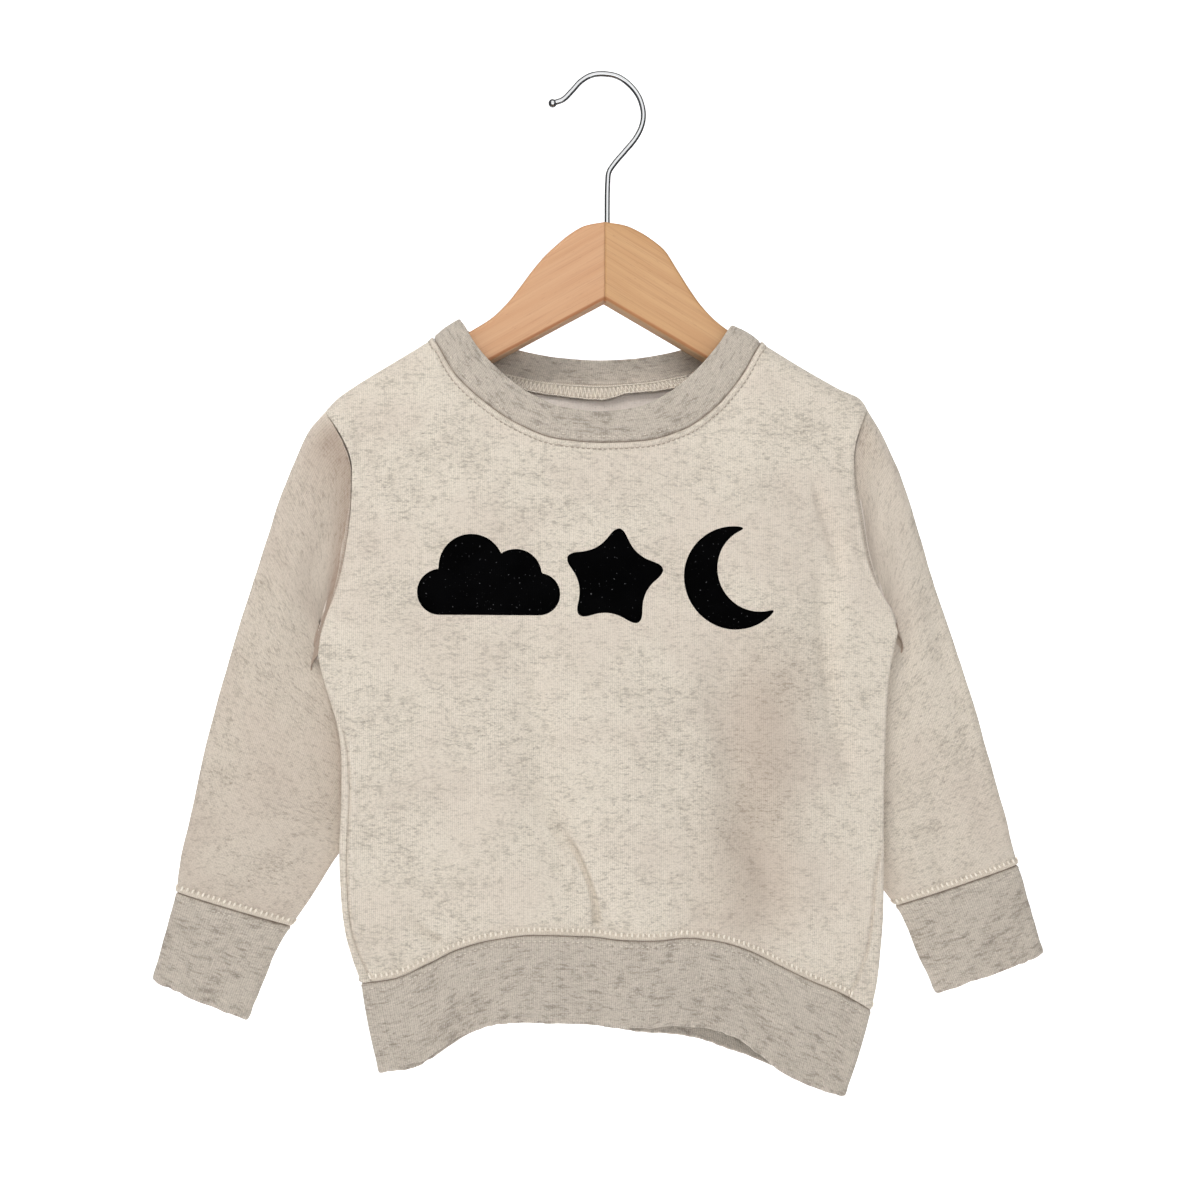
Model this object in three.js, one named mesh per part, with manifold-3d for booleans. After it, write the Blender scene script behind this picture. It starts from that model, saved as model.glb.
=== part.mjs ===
// A crewneck sweatshirt hanging on a flat wooden hanger with a wire hook.
// Millimetres, +Z up, the front of the garment faces -Y.
// Origin: the underside of the hook's crown, where a rail bears on it.
import * as THREE from 'three';
import { mergeVertices } from 'three/addons/utils/BufferGeometryUtils.js';
import Module from 'manifold-3d';

const wasm = await Module();
wasm.setup();

// ---- driving sizes ----------------------------------------------------------
const CLOTH_WALL = 1.7;        // brushed fleece
const RIB_WALL = 2.2;          // ribbing, folded double
const SEAM_GAP = 0.3;          // between two pieces at a seam
const RIDGE_RADIUS = 10.2;      // fold of the cloth over the hanger's arms
const SHOULDER_COS = 0.84;     // cosine of the shoulder slope
const FOLD = { front: -12.2, seam: -9.3, back: -6.4, reach: 2.9 };   // body side folds
const NECK_FOLD = { front: 6, back: 4 };   // height over which the neck opens across the hanger
const ARMPIT_T = 0.585;        // height fraction of the armpit on a panel

const HANGER = { half: 6, bevel: 2.6, mitreX: -0.5 };
const HOOK = { wire: 1.5, ball: 2.3, socket: 1.8, stemX: 1.2, socketBottom: -108 };

// Corner points of the garment, x and z.
const POINTS = {
  neckLeft: { x: -95.7, z: -155.6 }, neckRight: { x: 87.6, z: -153.5 },
  rimLeft: { x: -81.4, z: -144.4 }, rimRight: { x: 71.3, z: -144.1 },
  tipLeft: { x: -154.6, z: -198.1 }, tipRight: { x: 149.4, z: -191.0 },
  armpitLeft: { x: -155.5, z: -332.5 }, armpitRight: { x: 162.5, z: -319.0 },
  hemLeft: { x: -130.2, z: -505.0 }, hemRight: { x: 144.0, z: -523.7 },
  hemEndLeft: { x: -120.0, z: -551.8 }, hemEndRight: { x: 128.4, z: -569.4 },
};

// Neck: how far the seam and the rib's free edge drop below the line between
// the neck points, by angle round each half from the left neck point.
const NECK_SECTIONS = [
  { deg: 0, frontSeam: 0, frontRim: 0, backSeam: 0, backRim: 0 },
  { deg: 15, frontSeam: 8.0, frontRim: 5.5, backSeam: 2.6, backRim: 2.1 },
  { deg: 30, frontSeam: 23.2, frontRim: 17.9, backSeam: 7.6, backRim: 6.2 },
  { deg: 45, frontSeam: 37.3, frontRim: 30.9, backSeam: 13.2, backRim: 10.7 },
  { deg: 60, frontSeam: 50.4, frontRim: 43.0, backSeam: 18.3, backRim: 14.9 },
  { deg: 75, frontSeam: 58.9, frontRim: 50.9, backSeam: 21.8, backRim: 17.7 },
  { deg: 90, frontSeam: 61.0, frontRim: 53.1, backSeam: 23.0, backRim: 18.7 },
  { deg: 105, frontSeam: 59.8, frontRim: 50.8, backSeam: 21.6, backRim: 17.6 },
  { deg: 120, frontSeam: 53.4, frontRim: 42.4, backSeam: 18.0, backRim: 14.6 },
  { deg: 135, frontSeam: 40.1, frontRim: 29.1, backSeam: 12.8, backRim: 10.4 },
  { deg: 150, frontSeam: 22.8, frontRim: 15.3, backSeam: 7.4, backRim: 6.0 },
  { deg: 165, frontSeam: 7.0, frontRim: 4.2, backSeam: 2.5, backRim: 2.0 },
  { deg: 180, frontSeam: 0, frontRim: 0, backSeam: 0, backRim: 0 },
];

// Shoulder line from the tip (k 0) to the neck point (k 1).
const SHOULDER_SECTIONS = [
  { k: 0, leftX: -154.6, leftZ: -198.1, rightX: 149.4, rightZ: -191.0 },
  { k: 0.05, leftX: -152.3, leftZ: -195.2, rightX: 148.0, rightZ: -188.3 },
  { k: 0.125, leftX: -148.6, leftZ: -191.2, rightX: 144.6, rightZ: -184.4 },
  { k: 0.21, leftX: -144.0, leftZ: -187.4, rightX: 139.2, rightZ: -181.9 },
  { k: 0.285, leftX: -139.4, leftZ: -184.1, rightX: 134.0, rightZ: -179.9 },
  { k: 0.4, leftX: -132.3, leftZ: -179.3, rightX: 126.4, rightZ: -175.9 },
  { k: 0.6, leftX: -120.0, leftZ: -171.4, rightX: 113.6, rightZ: -168.9 },
  { k: 0.84, leftX: -105.4, leftZ: -162.0, rightX: 98.4, rightZ: -160.0 },
  { k: 1, leftX: -95.7, leftZ: -155.6, rightX: 87.6, rightZ: -153.5 },
];

// Armhole line from the shoulder tip (w 0) to the armpit (w 1).
const ARMHOLE_SECTIONS = [
  { w: 0, left: -154.6, right: 149.4 },
  { w: 0.03, left: -152.4, right: 146.9 },
  { w: 0.07, left: -148.7, right: 144.6 },
  { w: 0.12, left: -144.7, right: 142.3 },
  { w: 0.18, left: -141.0, right: 140.2 },
  { w: 0.25, left: -139.1, right: 139.2 },
  { w: 0.35, left: -139.1, right: 139.7 },
  { w: 0.5, left: -140.5, right: 142.4 },
  { w: 0.65, left: -143.6, right: 145.4 },
  { w: 0.75, left: -147.0, right: 149.0 },
  { w: 0.85, left: -151.8, right: 155.0 },
  { w: 0.93, left: -154.6, right: 160.6 },
  { w: 1, left: -155.5, right: 162.5 },
];

// Side seam from the armpit (g 0) to the hem seam (g 1).
const SIDE_SECTIONS = [
  { g: 0, left: -155.5, right: 162.5 },
  { g: 0.04, left: -154.1, right: 160.6 },
  { g: 0.09, left: -151.7, right: 158.2 },
  { g: 0.15, left: -148.3, right: 156.4 },
  { g: 0.22, left: -144.6, right: 155.2 },
  { g: 0.32, left: -142.3, right: 154.1 },
  { g: 0.45, left: -142.0, right: 153.0 },
  { g: 0.6, left: -142.6, right: 152.4 },
  { g: 0.75, left: -141.2, right: 151.5 },
  { g: 0.85, left: -138.8, right: 149.6 },
  { g: 0.93, left: -134.8, right: 147.4 },
  { g: 1, left: -130.2, right: 144.0 },
];

// Hem seam and the hem band's lower edge, left (s 0) to right (s 1).
const HEM_SECTIONS = [
  { s: 0, seam: -505.0, frontEnd: -551.8, backEnd: -551.8 },
  { s: 0.0625, seam: -502.7, frontEnd: -548.6, backEnd: -550.6 },
  { s: 0.125, seam: -495.6, frontEnd: -540.3, backEnd: -544.2 },
  { s: 0.19, seam: -487.4, frontEnd: -531.0, backEnd: -535.2 },
  { s: 0.25, seam: -482.9, frontEnd: -527.4, backEnd: -531.0 },
  { s: 0.33, seam: -480.5, frontEnd: -526.5, backEnd: -529.8 },
  { s: 0.44, seam: -481.9, frontEnd: -528.1, backEnd: -531.8 },
  { s: 0.5, seam: -483.7, frontEnd: -530.0, backEnd: -534.0 },
  { s: 0.5625, seam: -484.2, frontEnd: -530.4, backEnd: -535.8 },
  { s: 0.625, seam: -482.9, frontEnd: -529.5, backEnd: -537.2 },
  { s: 0.6875, seam: -484.9, frontEnd: -530.9, backEnd: -540.5 },
  { s: 0.75, seam: -490.1, frontEnd: -535.2, backEnd: -545.6 },
  { s: 0.8125, seam: -498.5, frontEnd: -546.0, backEnd: -550.8 },
  { s: 0.875, seam: -506.8, frontEnd: -557.6, backEnd: -557.8 },
  { s: 0.9375, seam: -514.2, frontEnd: -564.4, backEnd: -564.6 },
  { s: 1, seam: -523.7, frontEnd: -569.4, backEnd: -569.4 },
];

// Depth of the body by height fraction t (hem 0, top edge 1): how far the middle
// of the front stands out past the side folds, where the middle of the back lies,
// and how wide the strip is where the back lies tight behind the front.
const BODY_SECTIONS = [
  { t: 0, frontBulge: 6.0, backMiddle: 8.0, tuck: 8 },
  { t: 0.1, frontBulge: 7.8, backMiddle: 10.0, tuck: 22 },
  { t: 0.25, frontBulge: 8.8, backMiddle: 11.0, tuck: 36 },
  { t: 0.42, frontBulge: 8.6, backMiddle: 12.0, tuck: 38 },
  { t: 0.52, frontBulge: 8.0, backMiddle: 12.0, tuck: 22 },
  { t: 0.585, frontBulge: 7.4, backMiddle: 12.0, tuck: 6 },
  { t: 0.7, frontBulge: 6.2, backMiddle: 12.0, tuck: 0 },
  { t: 0.85, frontBulge: 5.0, backMiddle: 11.5, tuck: 0 },
  { t: 1, frontBulge: 4.0, backMiddle: 11.0, tuck: 0 },
];

// Largest soft folds of the body: a trough from one end to the other.
const BODY_FOLDS = [
  { face: 'front', x0: -48, z0: -320, x1: -30, z1: -420, width: 17, depth: 2.2 },
  { face: 'front', x0: -30, z0: -420, x1: -8, z1: -476, width: 15, depth: 3.4 },
  { face: 'front', x0: 66, z0: -330, x1: 86, z1: -474, width: 17, depth: 2.6 },
  { face: 'front', x0: 124, z0: -262, x1: 121, z1: -330, width: 14, depth: 2.0 },
  { face: 'front', x0: 121, z0: -330, x1: 133, z1: -400, width: 13, depth: 1.6 },
  { face: 'front', x0: -104, z0: -455, x1: -86, z1: -484, width: 15, depth: 1.8 },
  { face: 'back', x0: 38, z0: -300, x1: 22, z1: -470, width: 20, depth: 2.6 },
  { face: 'back', x0: -52, z0: -330, x1: -40, z1: -480, width: 18, depth: 2.2 },
];

// Sleeves, armhole (v 0) to cuff seam (v 1): the outer and inner edge of the
// flattened tube, x and z, and the depth of its front and back wall at each edge.
const SLEEVE_SECTIONS = {
  left: [
    { v: 0, outerX: -154.6, outerZ: -198.1, innerX: -155.5, innerZ: -332.5, frontOuter: -9.6, frontInner: -11.6, backOuter: 8.5, backInner: -5.8 },
    { v: 0.06, outerX: -163.8, outerZ: -209.9, innerX: -159.4, innerZ: -339.5, frontOuter: -9.6, frontInner: -7.2, backOuter: 9.0, backInner: -1.0 },
    { v: 0.12, outerX: -170.2, outerZ: -224.2, innerX: -157.6, innerZ: -346.0, frontOuter: -9.0, frontInner: -4.8, backOuter: 9.2, backInner: 2.0 },
    { v: 0.2, outerX: -176.3, outerZ: -240.2, innerX: -152.0, innerZ: -353.0, frontOuter: -8.4, frontInner: -4.6, backOuter: 9.6, backInner: 5.0 },
    { v: 0.38, outerX: -190.4, outerZ: -288.4, innerX: -123.0, innerZ: -377.0, frontOuter: -8.4, frontInner: -4.4, backOuter: 10.4, backInner: 7.6 },
    { v: 0.53, outerX: -203.3, outerZ: -334.8, innerX: -116.0, innerZ: -400.0, frontOuter: -8.0, frontInner: -4.4, backOuter: 10.6, backInner: 9.0 },
    { v: 0.68, outerX: -215.0, outerZ: -379.5, innerX: -127.0, innerZ: -422.0, frontOuter: -7.6, frontInner: -4.4, backOuter: 10.2, backInner: 9.4 },
    { v: 0.82, outerX: -222.6, outerZ: -420.0, innerX: -144.4, innerZ: -440.4, frontOuter: -7.2, frontInner: -4.6, backOuter: 9.6, backInner: 9.2 },
    { v: 0.91, outerX: -226.8, outerZ: -440.5, innerX: -155.6, innerZ: -458.4, frontOuter: -6.8, frontInner: -5.2, backOuter: 9.0, backInner: 8.8 },
    { v: 1, outerX: -228.4, outerZ: -457.8, innerX: -168.0, innerZ: -476.4, frontOuter: -6.0, frontInner: -5.4, backOuter: 8.4, backInner: 8.2 },
  ],
  right: [
    { v: 0, outerX: 149.4, outerZ: -191.0, innerX: 162.5, innerZ: -319.0, frontOuter: -9.6, frontInner: -11.6, backOuter: 8.5, backInner: -5.8 },
    { v: 0.06, outerX: 158.0, outerZ: -205.5, innerX: 166.4, innerZ: -326.5, frontOuter: -9.6, frontInner: -7.2, backOuter: 9.0, backInner: -1.0 },
    { v: 0.12, outerX: 164.6, outerZ: -219.4, innerX: 164.8, innerZ: -333.5, frontOuter: -9.0, frontInner: -4.8, backOuter: 9.2, backInner: 2.0 },
    { v: 0.2, outerX: 170.6, outerZ: -234.5, innerX: 159.6, innerZ: -341.0, frontOuter: -8.4, frontInner: -4.6, backOuter: 9.6, backInner: 5.0 },
    { v: 0.38, outerX: 184.6, outerZ: -282.7, innerX: 130.0, innerZ: -366.0, frontOuter: -8.4, frontInner: -4.4, backOuter: 10.4, backInner: 7.6 },
    { v: 0.53, outerX: 197.8, outerZ: -325.0, innerX: 121.0, innerZ: -390.0, frontOuter: -8.0, frontInner: -4.4, backOuter: 10.6, backInner: 9.0 },
    { v: 0.68, outerX: 210.2, outerZ: -364.5, innerX: 128.0, innerZ: -413.0, frontOuter: -7.6, frontInner: -4.4, backOuter: 10.2, backInner: 9.4 },
    { v: 0.82, outerX: 221.0, outerZ: -405.0, innerX: 139.5, innerZ: -434.0, frontOuter: -7.2, frontInner: -4.6, backOuter: 9.6, backInner: 9.2 },
    { v: 0.91, outerX: 227.0, outerZ: -428.0, innerX: 149.4, innerZ: -453.5, frontOuter: -6.8, frontInner: -5.2, backOuter: 9.0, backInner: 8.8 },
    { v: 1, outerX: 231.4, outerZ: -447.2, innerX: 161.5, innerZ: -469.2, frontOuter: -6.0, frontInner: -5.4, backOuter: 8.4, backInner: 8.2 },
  ],
};

// Cuffs, cuff seam (v 0) to the free edge (v 1).
const CUFF_SECTIONS = {
  left: [
    { v: 0, outerX: -228.4, outerZ: -457.8, innerX: -168.0, innerZ: -476.4, frontOuter: -6.0, frontInner: -5.4, backOuter: 8.4, backInner: 8.2 },
    { v: 0.12, outerX: -229.8, outerZ: -463.2, innerX: -171.9, innerZ: -482.2, frontOuter: -5.6, frontInner: -5.2, backOuter: 8.0, backInner: 7.8 },
    { v: 0.55, outerX: -234.8, outerZ: -483.0, innerX: -181.4, innerZ: -503.0, frontOuter: -5.2, frontInner: -5.0, backOuter: 7.6, backInner: 7.4 },
    { v: 1, outerX: -239.8, outerZ: -503.0, innerX: -190.0, innerZ: -525.2, frontOuter: -5.0, frontInner: -4.8, backOuter: 7.4, backInner: 7.2 },
  ],
  right: [
    { v: 0, outerX: 231.4, outerZ: -447.2, innerX: 161.5, innerZ: -469.2, frontOuter: -6.0, frontInner: -5.4, backOuter: 8.4, backInner: 8.2 },
    { v: 0.12, outerX: 233.4, outerZ: -453.0, innerX: 165.4, innerZ: -475.0, frontOuter: -5.6, frontInner: -5.2, backOuter: 8.0, backInner: 7.8 },
    { v: 0.55, outerX: 239.2, outerZ: -474.4, innerX: 174.6, innerZ: -497.2, frontOuter: -5.2, frontInner: -5.0, backOuter: 7.6, backInner: 7.4 },
    { v: 1, outerX: 245.0, outerZ: -496.4, innerX: 183.8, innerZ: -517.3, frontOuter: -5.0, frontInner: -4.8, backOuter: 7.4, backInner: 7.2 },
  ],
};

// Hanger: upper and lower edge by distance from the mitre.
const HANGER_SECTIONS = [
  { r: 0, topLeft: -86.9, topRight: -86.9, low: -132.4 },
  { r: 11, topLeft: -89.4, topRight: -88.5, low: -138.7 },
  { r: 20, topLeft: -94.8, topRight: -92.2, low: -143.8 },
  { r: 27, topLeft: -100.9, topRight: -96.6, low: -147.8 },
  { r: 34, topLeft: -107.8, topRight: -102.4, low: -151.8 },
  { r: 41, topLeft: -116.5, topRight: -113.2, low: -155.8 },
  { r: 48, topLeft: -126.4, topRight: -124.4, low: -159.8 },
  { r: 55, topLeft: -135.6, topRight: -134.2, low: -163.7 },
  { r: 63, topLeft: -143.7, topRight: -142.5, low: -168.3 },
  { r: 75, topLeft: -151.8, topRight: -151.2, low: -175.1 },
  { r: 95, topLeft: -164.2, topRight: -164.0, low: -186.5 },
  { r: 115, topLeft: -175.6, topRight: -175.4, low: -197.0 },
  { r: 128, topLeft: -183.4, topRight: -182.8, low: -202.6 },
  { r: 134, topLeft: -187.8, topRight: -187.2, low: -203.6 },
  { r: 137, topLeft: -192.5, topRight: -191.8, low: -202.0 },
];

// Hook wire, centre line from inside the wood to the ball at its tip.
const HOOK_SECTIONS = [
  { x: 1.2, z: -106 }, { x: 1.2, z: -84 }, { x: 1.5, z: -63 }, { x: 2.2, z: -56.5 },
  { x: 5.4, z: -51.2 }, { x: 11.4, z: -43.8 }, { x: 17.6, z: -35.8 }, { x: 21.2, z: -28 },
  { x: 22.0, z: -20.5 }, { x: 19.6, z: -11.6 }, { x: 14.4, z: -4.6 }, { x: 7.4, z: 0.2 },
  { x: -0.6, z: 1.5 }, { x: -7.6, z: 0.5 }, { x: -13.8, z: -3.4 }, { x: -19.0, z: -9.4 },
  { x: -24.0, z: -14.6 }, { x: -29.4, z: -16.9 },
];

const COLOURS = {
  fleece: { color: 0xdbd1c3, roughness: 0.95, metalness: 0 },
  rib: { color: 0xc4bbae, roughness: 0.95, metalness: 0 },
  woodLeft: { color: 0xdcae86, roughness: 0.42, metalness: 0 },
  woodRight: { color: 0xd9b284, roughness: 0.42, metalness: 0 },
  chrome: { color: 0xc9ccd0, roughness: 0.12, metalness: 1 },
};

// ---- small helpers ----------------------------------------------------------
const lerp = (a, b, k) => a + (b - a) * k;
const clamp01 = (k) => Math.min(1, Math.max(0, k));
const smooth = (k) => { const c = clamp01(k); return c * c * (3 - 2 * c); };
const arc = (d, r) => { const q = 1 - clamp01(d / r); return Math.sqrt(1 - q * q); };

// Monotone cubic through one column of a table.
function column(rows, along, key) {
  const n = rows.length, xs = rows.map((r) => r[along]), ys = rows.map((r) => r[key]);
  const d = [], m = [];
  for (let i = 0; i < n - 1; i++) d.push((ys[i + 1] - ys[i]) / (xs[i + 1] - xs[i]));
  for (let i = 0; i < n; i++) {
    if (i === 0) m.push(d[0]);
    else if (i === n - 1) m.push(d[n - 2]);
    else if (d[i - 1] * d[i] <= 0) m.push(0);
    else {
      const h0 = xs[i] - xs[i - 1], h1 = xs[i + 1] - xs[i];
      const w0 = 2 * h1 + h0, w1 = h1 + 2 * h0;
      m.push((w0 + w1) / (w0 / d[i - 1] + w1 / d[i]));
    }
  }
  return (x) => {
    let i = 0;
    while (i < n - 2 && x > xs[i + 1]) i++;
    const h = xs[i + 1] - xs[i], t = clamp01((x - xs[i]) / h), t2 = t * t, t3 = t2 * t;
    return (2 * t3 - 3 * t2 + 1) * ys[i] + (t3 - 2 * t2 + t) * h * m[i]
      + (3 * t2 - 2 * t3) * ys[i + 1] + (t3 - t2) * h * m[i + 1];
  };
}
const columns = (rows, along) => Object.fromEntries(
  Object.keys(rows[0]).filter((k) => k !== along && typeof rows[0][k] === 'number')
    .map((k) => [k, column(rows, along, k)]));

const neckCols = columns(NECK_SECTIONS, 'deg');
const shoulderCols = columns(SHOULDER_SECTIONS, 'k');
const armholeCols = columns(ARMHOLE_SECTIONS, 'w');
const sideCols = columns(SIDE_SECTIONS, 'g');
const hemCols = columns(HEM_SECTIONS, 's');
const bodyCols = columns(BODY_SECTIONS, 't');

// ---- lines that pieces share --------------------------------------------------
const topWidth = POINTS.tipRight.x - POINTS.tipLeft.x;
const NECK_S0 = (POINTS.neckLeft.x - POINTS.tipLeft.x) / topWidth;
const NECK_S1 = (POINTS.neckRight.x - POINTS.tipLeft.x) / topWidth;

// Neck seam or rib edge at an angle, on the front (face -1) or the back (face 1).
function neckPoint(line, face, deg) {
  const [a, b] = line === 'Seam' ? [POINTS.neckLeft, POINTS.neckRight] : [POINTS.rimLeft, POINTS.rimRight];
  const u = -Math.cos(THREE.MathUtils.degToRad(deg)), k = (u + 1) / 2;
  const drop = neckCols[(face < 0 ? 'front' : 'back') + line](deg);
  const middle = Math.sin(THREE.MathUtils.degToRad(deg)) ** 2;
  const extra = face < 0 ? (line === 'Seam' ? 4.4 : 3.4) : (line === 'Seam' ? 1.4 : 0.2);
  const y = face * (RIDGE_RADIUS * arc(drop, face < 0 ? NECK_FOLD.front : NECK_FOLD.back) + extra * middle);
  return new THREE.Vector3(lerp(a.x, b.x, k), y, lerp(a.z, b.z, k) - drop);
}

// Armhole seam at fraction w from the shoulder tip to the armpit.
function armholePoint(side, face, w) {
  const tip = POINTS['tip' + side], pit = POINTS['armpit' + side];
  const z = lerp(tip.z, pit.z, w), x = armholeCols[side.toLowerCase()](w);
  const fromTip = tip.z - z, fromPit = z - pit.z;
  let y;
  if (face < 0) y = -Math.min(10.2 * arc(fromTip, RIDGE_RADIUS), lerp(-FOLD.seam, 11.6, arc(fromPit, 5)));
  else {
    const run = lerp(8.5, FOLD.back, smooth(w * 1.04));
    y = fromTip < fromPit ? run * arc(fromTip, RIDGE_RADIUS) : lerp(FOLD.seam, run, arc(fromPit, 5));
  }
  return new THREE.Vector3(x, y, z);
}

// Outline of a body panel: left and right edge at height t, top and bottom at s.
function sideEdge(side, t) {
  const key = side.toLowerCase();
  if (t >= ARMPIT_T) {
    const w = (1 - t) / (1 - ARMPIT_T);
    return [armholeCols[key](w), lerp(POINTS['tip' + side].z, POINTS['armpit' + side].z, w)];
  }
  const g = 1 - t / ARMPIT_T;
  return [sideCols[key](g), lerp(POINTS['armpit' + side].z, POINTS['hem' + side].z, g)];
}
function topEdge(face, s) {
  if (s <= NECK_S0) { const k = s / NECK_S0; return [shoulderCols.leftX(k), shoulderCols.leftZ(k)]; }
  if (s >= NECK_S1) { const k = (1 - s) / (1 - NECK_S1); return [shoulderCols.rightX(k), shoulderCols.rightZ(k)]; }
  const u = 2 * (s - NECK_S0) / (NECK_S1 - NECK_S0) - 1;
  const p = neckPoint('Seam', face, THREE.MathUtils.radToDeg(Math.acos(THREE.MathUtils.clamp(-u, -1, 1))));
  return [p.x, p.z];
}
const bottomEdge = (s) => [lerp(POINTS.hemLeft.x, POINTS.hemRight.x, s), hemCols.seam(s)];

// Depth that the cloth would have with no edge to meet.
function openDepth(face, s, t, height) {
  const fromTop = (1 - t) * height, fromSide = Math.min(s, 1 - s) * topWidth;
  if (face < 0) {
    return -(RIDGE_RADIUS + (-FOLD.front - RIDGE_RADIUS) * smooth(fromTop / 70)
      + bodyCols.frontBulge(t) * Math.sin(Math.PI * s) ** 1.3);
  }
  const w = clamp01((1 - t) / (1 - ARMPIT_T));
  const edge = t < ARMPIT_T ? FOLD.back : lerp(8.5, FOLD.back, smooth(w * 1.04));
  const reach = t < ARMPIT_T ? 58 : lerp(58, 40, smooth((1 - w) * 2));
  const open = lerp(edge, bodyCols.backMiddle(t), smooth((fromSide - bodyCols.tuck(t)) / reach));
  return lerp(RIDGE_RADIUS, open, smooth(fromTop / 45));
}

// How strongly an edge pulls the depth to its own: a round fold or a soft run-out.
const edgePull = (d, r, round) => {
  const q = 1 - clamp01(d / r);
  return lerp(q * q * (3 - 2 * q), 1 - Math.sqrt(1 - q * q), round);
};

function foldDepth(face, x, z) {
  let y = 0;
  for (const f of BODY_FOLDS) {
    if ((f.face === 'front' ? -1 : 1) !== face) continue;
    const dx = f.x1 - f.x0, dz = f.z1 - f.z0, len2 = dx * dx + dz * dz;
    const k = ((x - f.x0) * dx + (z - f.z0) * dz) / len2;
    const along = Math.max(0, -k, k - 1) * Math.sqrt(len2);
    const across = Math.abs((x - f.x0) * dz - (z - f.z0) * dx) / Math.sqrt(len2);
    y += f.depth * Math.exp(-((across / f.width) ** 2) - (along / (f.width * 1.4)) ** 2);
  }
  return -face * y;
}

// A point of a body panel's outer surface.
function panelPoint(face, s, t) {
  const [lx, lz] = sideEdge('Left', t), [rx, rz] = sideEdge('Right', t);
  const [tx, tz] = topEdge(face, s), [bx, bz] = bottomEdge(s);
  const tl = POINTS.tipLeft, tr = POINTS.tipRight, bl = POINTS.hemLeft, br = POINTS.hemRight;
  const flat = (u, v, k) => (1 - u) * (1 - v) * bl[k] + u * (1 - v) * br[k] + (1 - u) * v * tl[k] + u * v * tr[k];
  const nearLeft = smooth(1 - s / 0.24), nearRight = smooth(1 - (1 - s) / 0.24);
  const blend = (l, r, top, bottom, k) => flat(s, t, k) + nearLeft * (l - flat(0, t, k))
    + nearRight * (r - flat(1, t, k)) + t * (top - flat(s, 1, k)) + (1 - t) * (bottom - flat(s, 0, k));
  const x = blend(lx, rx, tx, bx, 'x'), z = blend(lz, rz, tz, bz, 'z');

  const height = Math.hypot(tx - bx, tz - bz), width = rx - lx;
  const w = clamp01((1 - t) / (1 - ARMPIT_T)), above = t >= ARMPIT_T;
  const edgeY = (side) => (above ? armholePoint(side, face, w).y : FOLD.seam);
  const onNeck = s > NECK_S0 && s < NECK_S1;
  let topY = 0, topRound = 1, topReach = RIDGE_RADIUS;
  if (onNeck) {
    const u = 2 * (s - NECK_S0) / (NECK_S1 - NECK_S0) - 1;
    const deg = THREE.MathUtils.radToDeg(Math.acos(-u));
    topY = neckPoint('Seam', face, deg).y;
    const k = smooth(neckCols[face < 0 ? 'frontSeam' : 'backSeam'](deg) / RIDGE_RADIUS);
    topRound = 1 - k;
    topReach = lerp(RIDGE_RADIUS, 16, k);
  }
  const soft = above ? smooth((1 - w) / 0.06) : 0;
  const sideReach = lerp(FOLD.reach, 14, soft);
  const pull = {
    left: edgePull(s * width, sideReach, 1 - soft),
    right: edgePull((1 - s) * width, sideReach, 1 - soft),
    top: edgePull((1 - t) * height * (onNeck ? 1 : SHOULDER_COS), topReach, topRound),
  };
  const open = openDepth(face, s, t, height);
  const gap = {
    left: edgeY('Left') - openDepth(face, 0, t, height),
    right: edgeY('Right') - openDepth(face, 1, t, height),
    top: topY - openDepth(face, s, 1, height),
    leftTop: 0 - openDepth(face, 0, 1, height),
    rightTop: 0 - openDepth(face, 1, 1, height),
  };
  const inner = smooth(Math.min(s, 1 - s) * width / 22) * smooth((1 - t) * height / 60);
  const y = open + pull.left * gap.left + pull.right * gap.right + pull.top * gap.top
    - pull.left * pull.top * gap.leftTop - pull.right * pull.top * gap.rightTop
    + inner * foldDepth(face, x, z);
  return new THREE.Vector3(x, y, z);
}

// ---- loops: points, run direction d away from the body panels, outward normal ----
function finishLoop(loop) {
  const n = loop.length;
  loop.forEach((q, i) => {
    const tangent = loop[(i + 1) % n].p.clone().sub(loop[(i - 1 + n) % n].p).normalize();
    q.n = new THREE.Vector3().crossVectors(tangent, q.d).normalize();
    if (q.n.dot(q.out) < 0) q.n.negate();
  });
  return loop;
}

// ---- closed solids from point grids -------------------------------------------
function solid(points, faces) {
  let volume = 0;
  for (const [a, b, c] of faces) volume += points[a].dot(new THREE.Vector3().crossVectors(points[b], points[c]));
  const index = volume > 0 ? faces.flat() : faces.flatMap(([a, b, c]) => [a, c, b]);
  const g = new THREE.BufferGeometry();
  g.setAttribute('position', new THREE.Float32BufferAttribute(points.flatMap((p) => p.toArray()), 3));
  g.setIndex(index);
  g.computeVertexNormals();
  return g;
}

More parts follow.
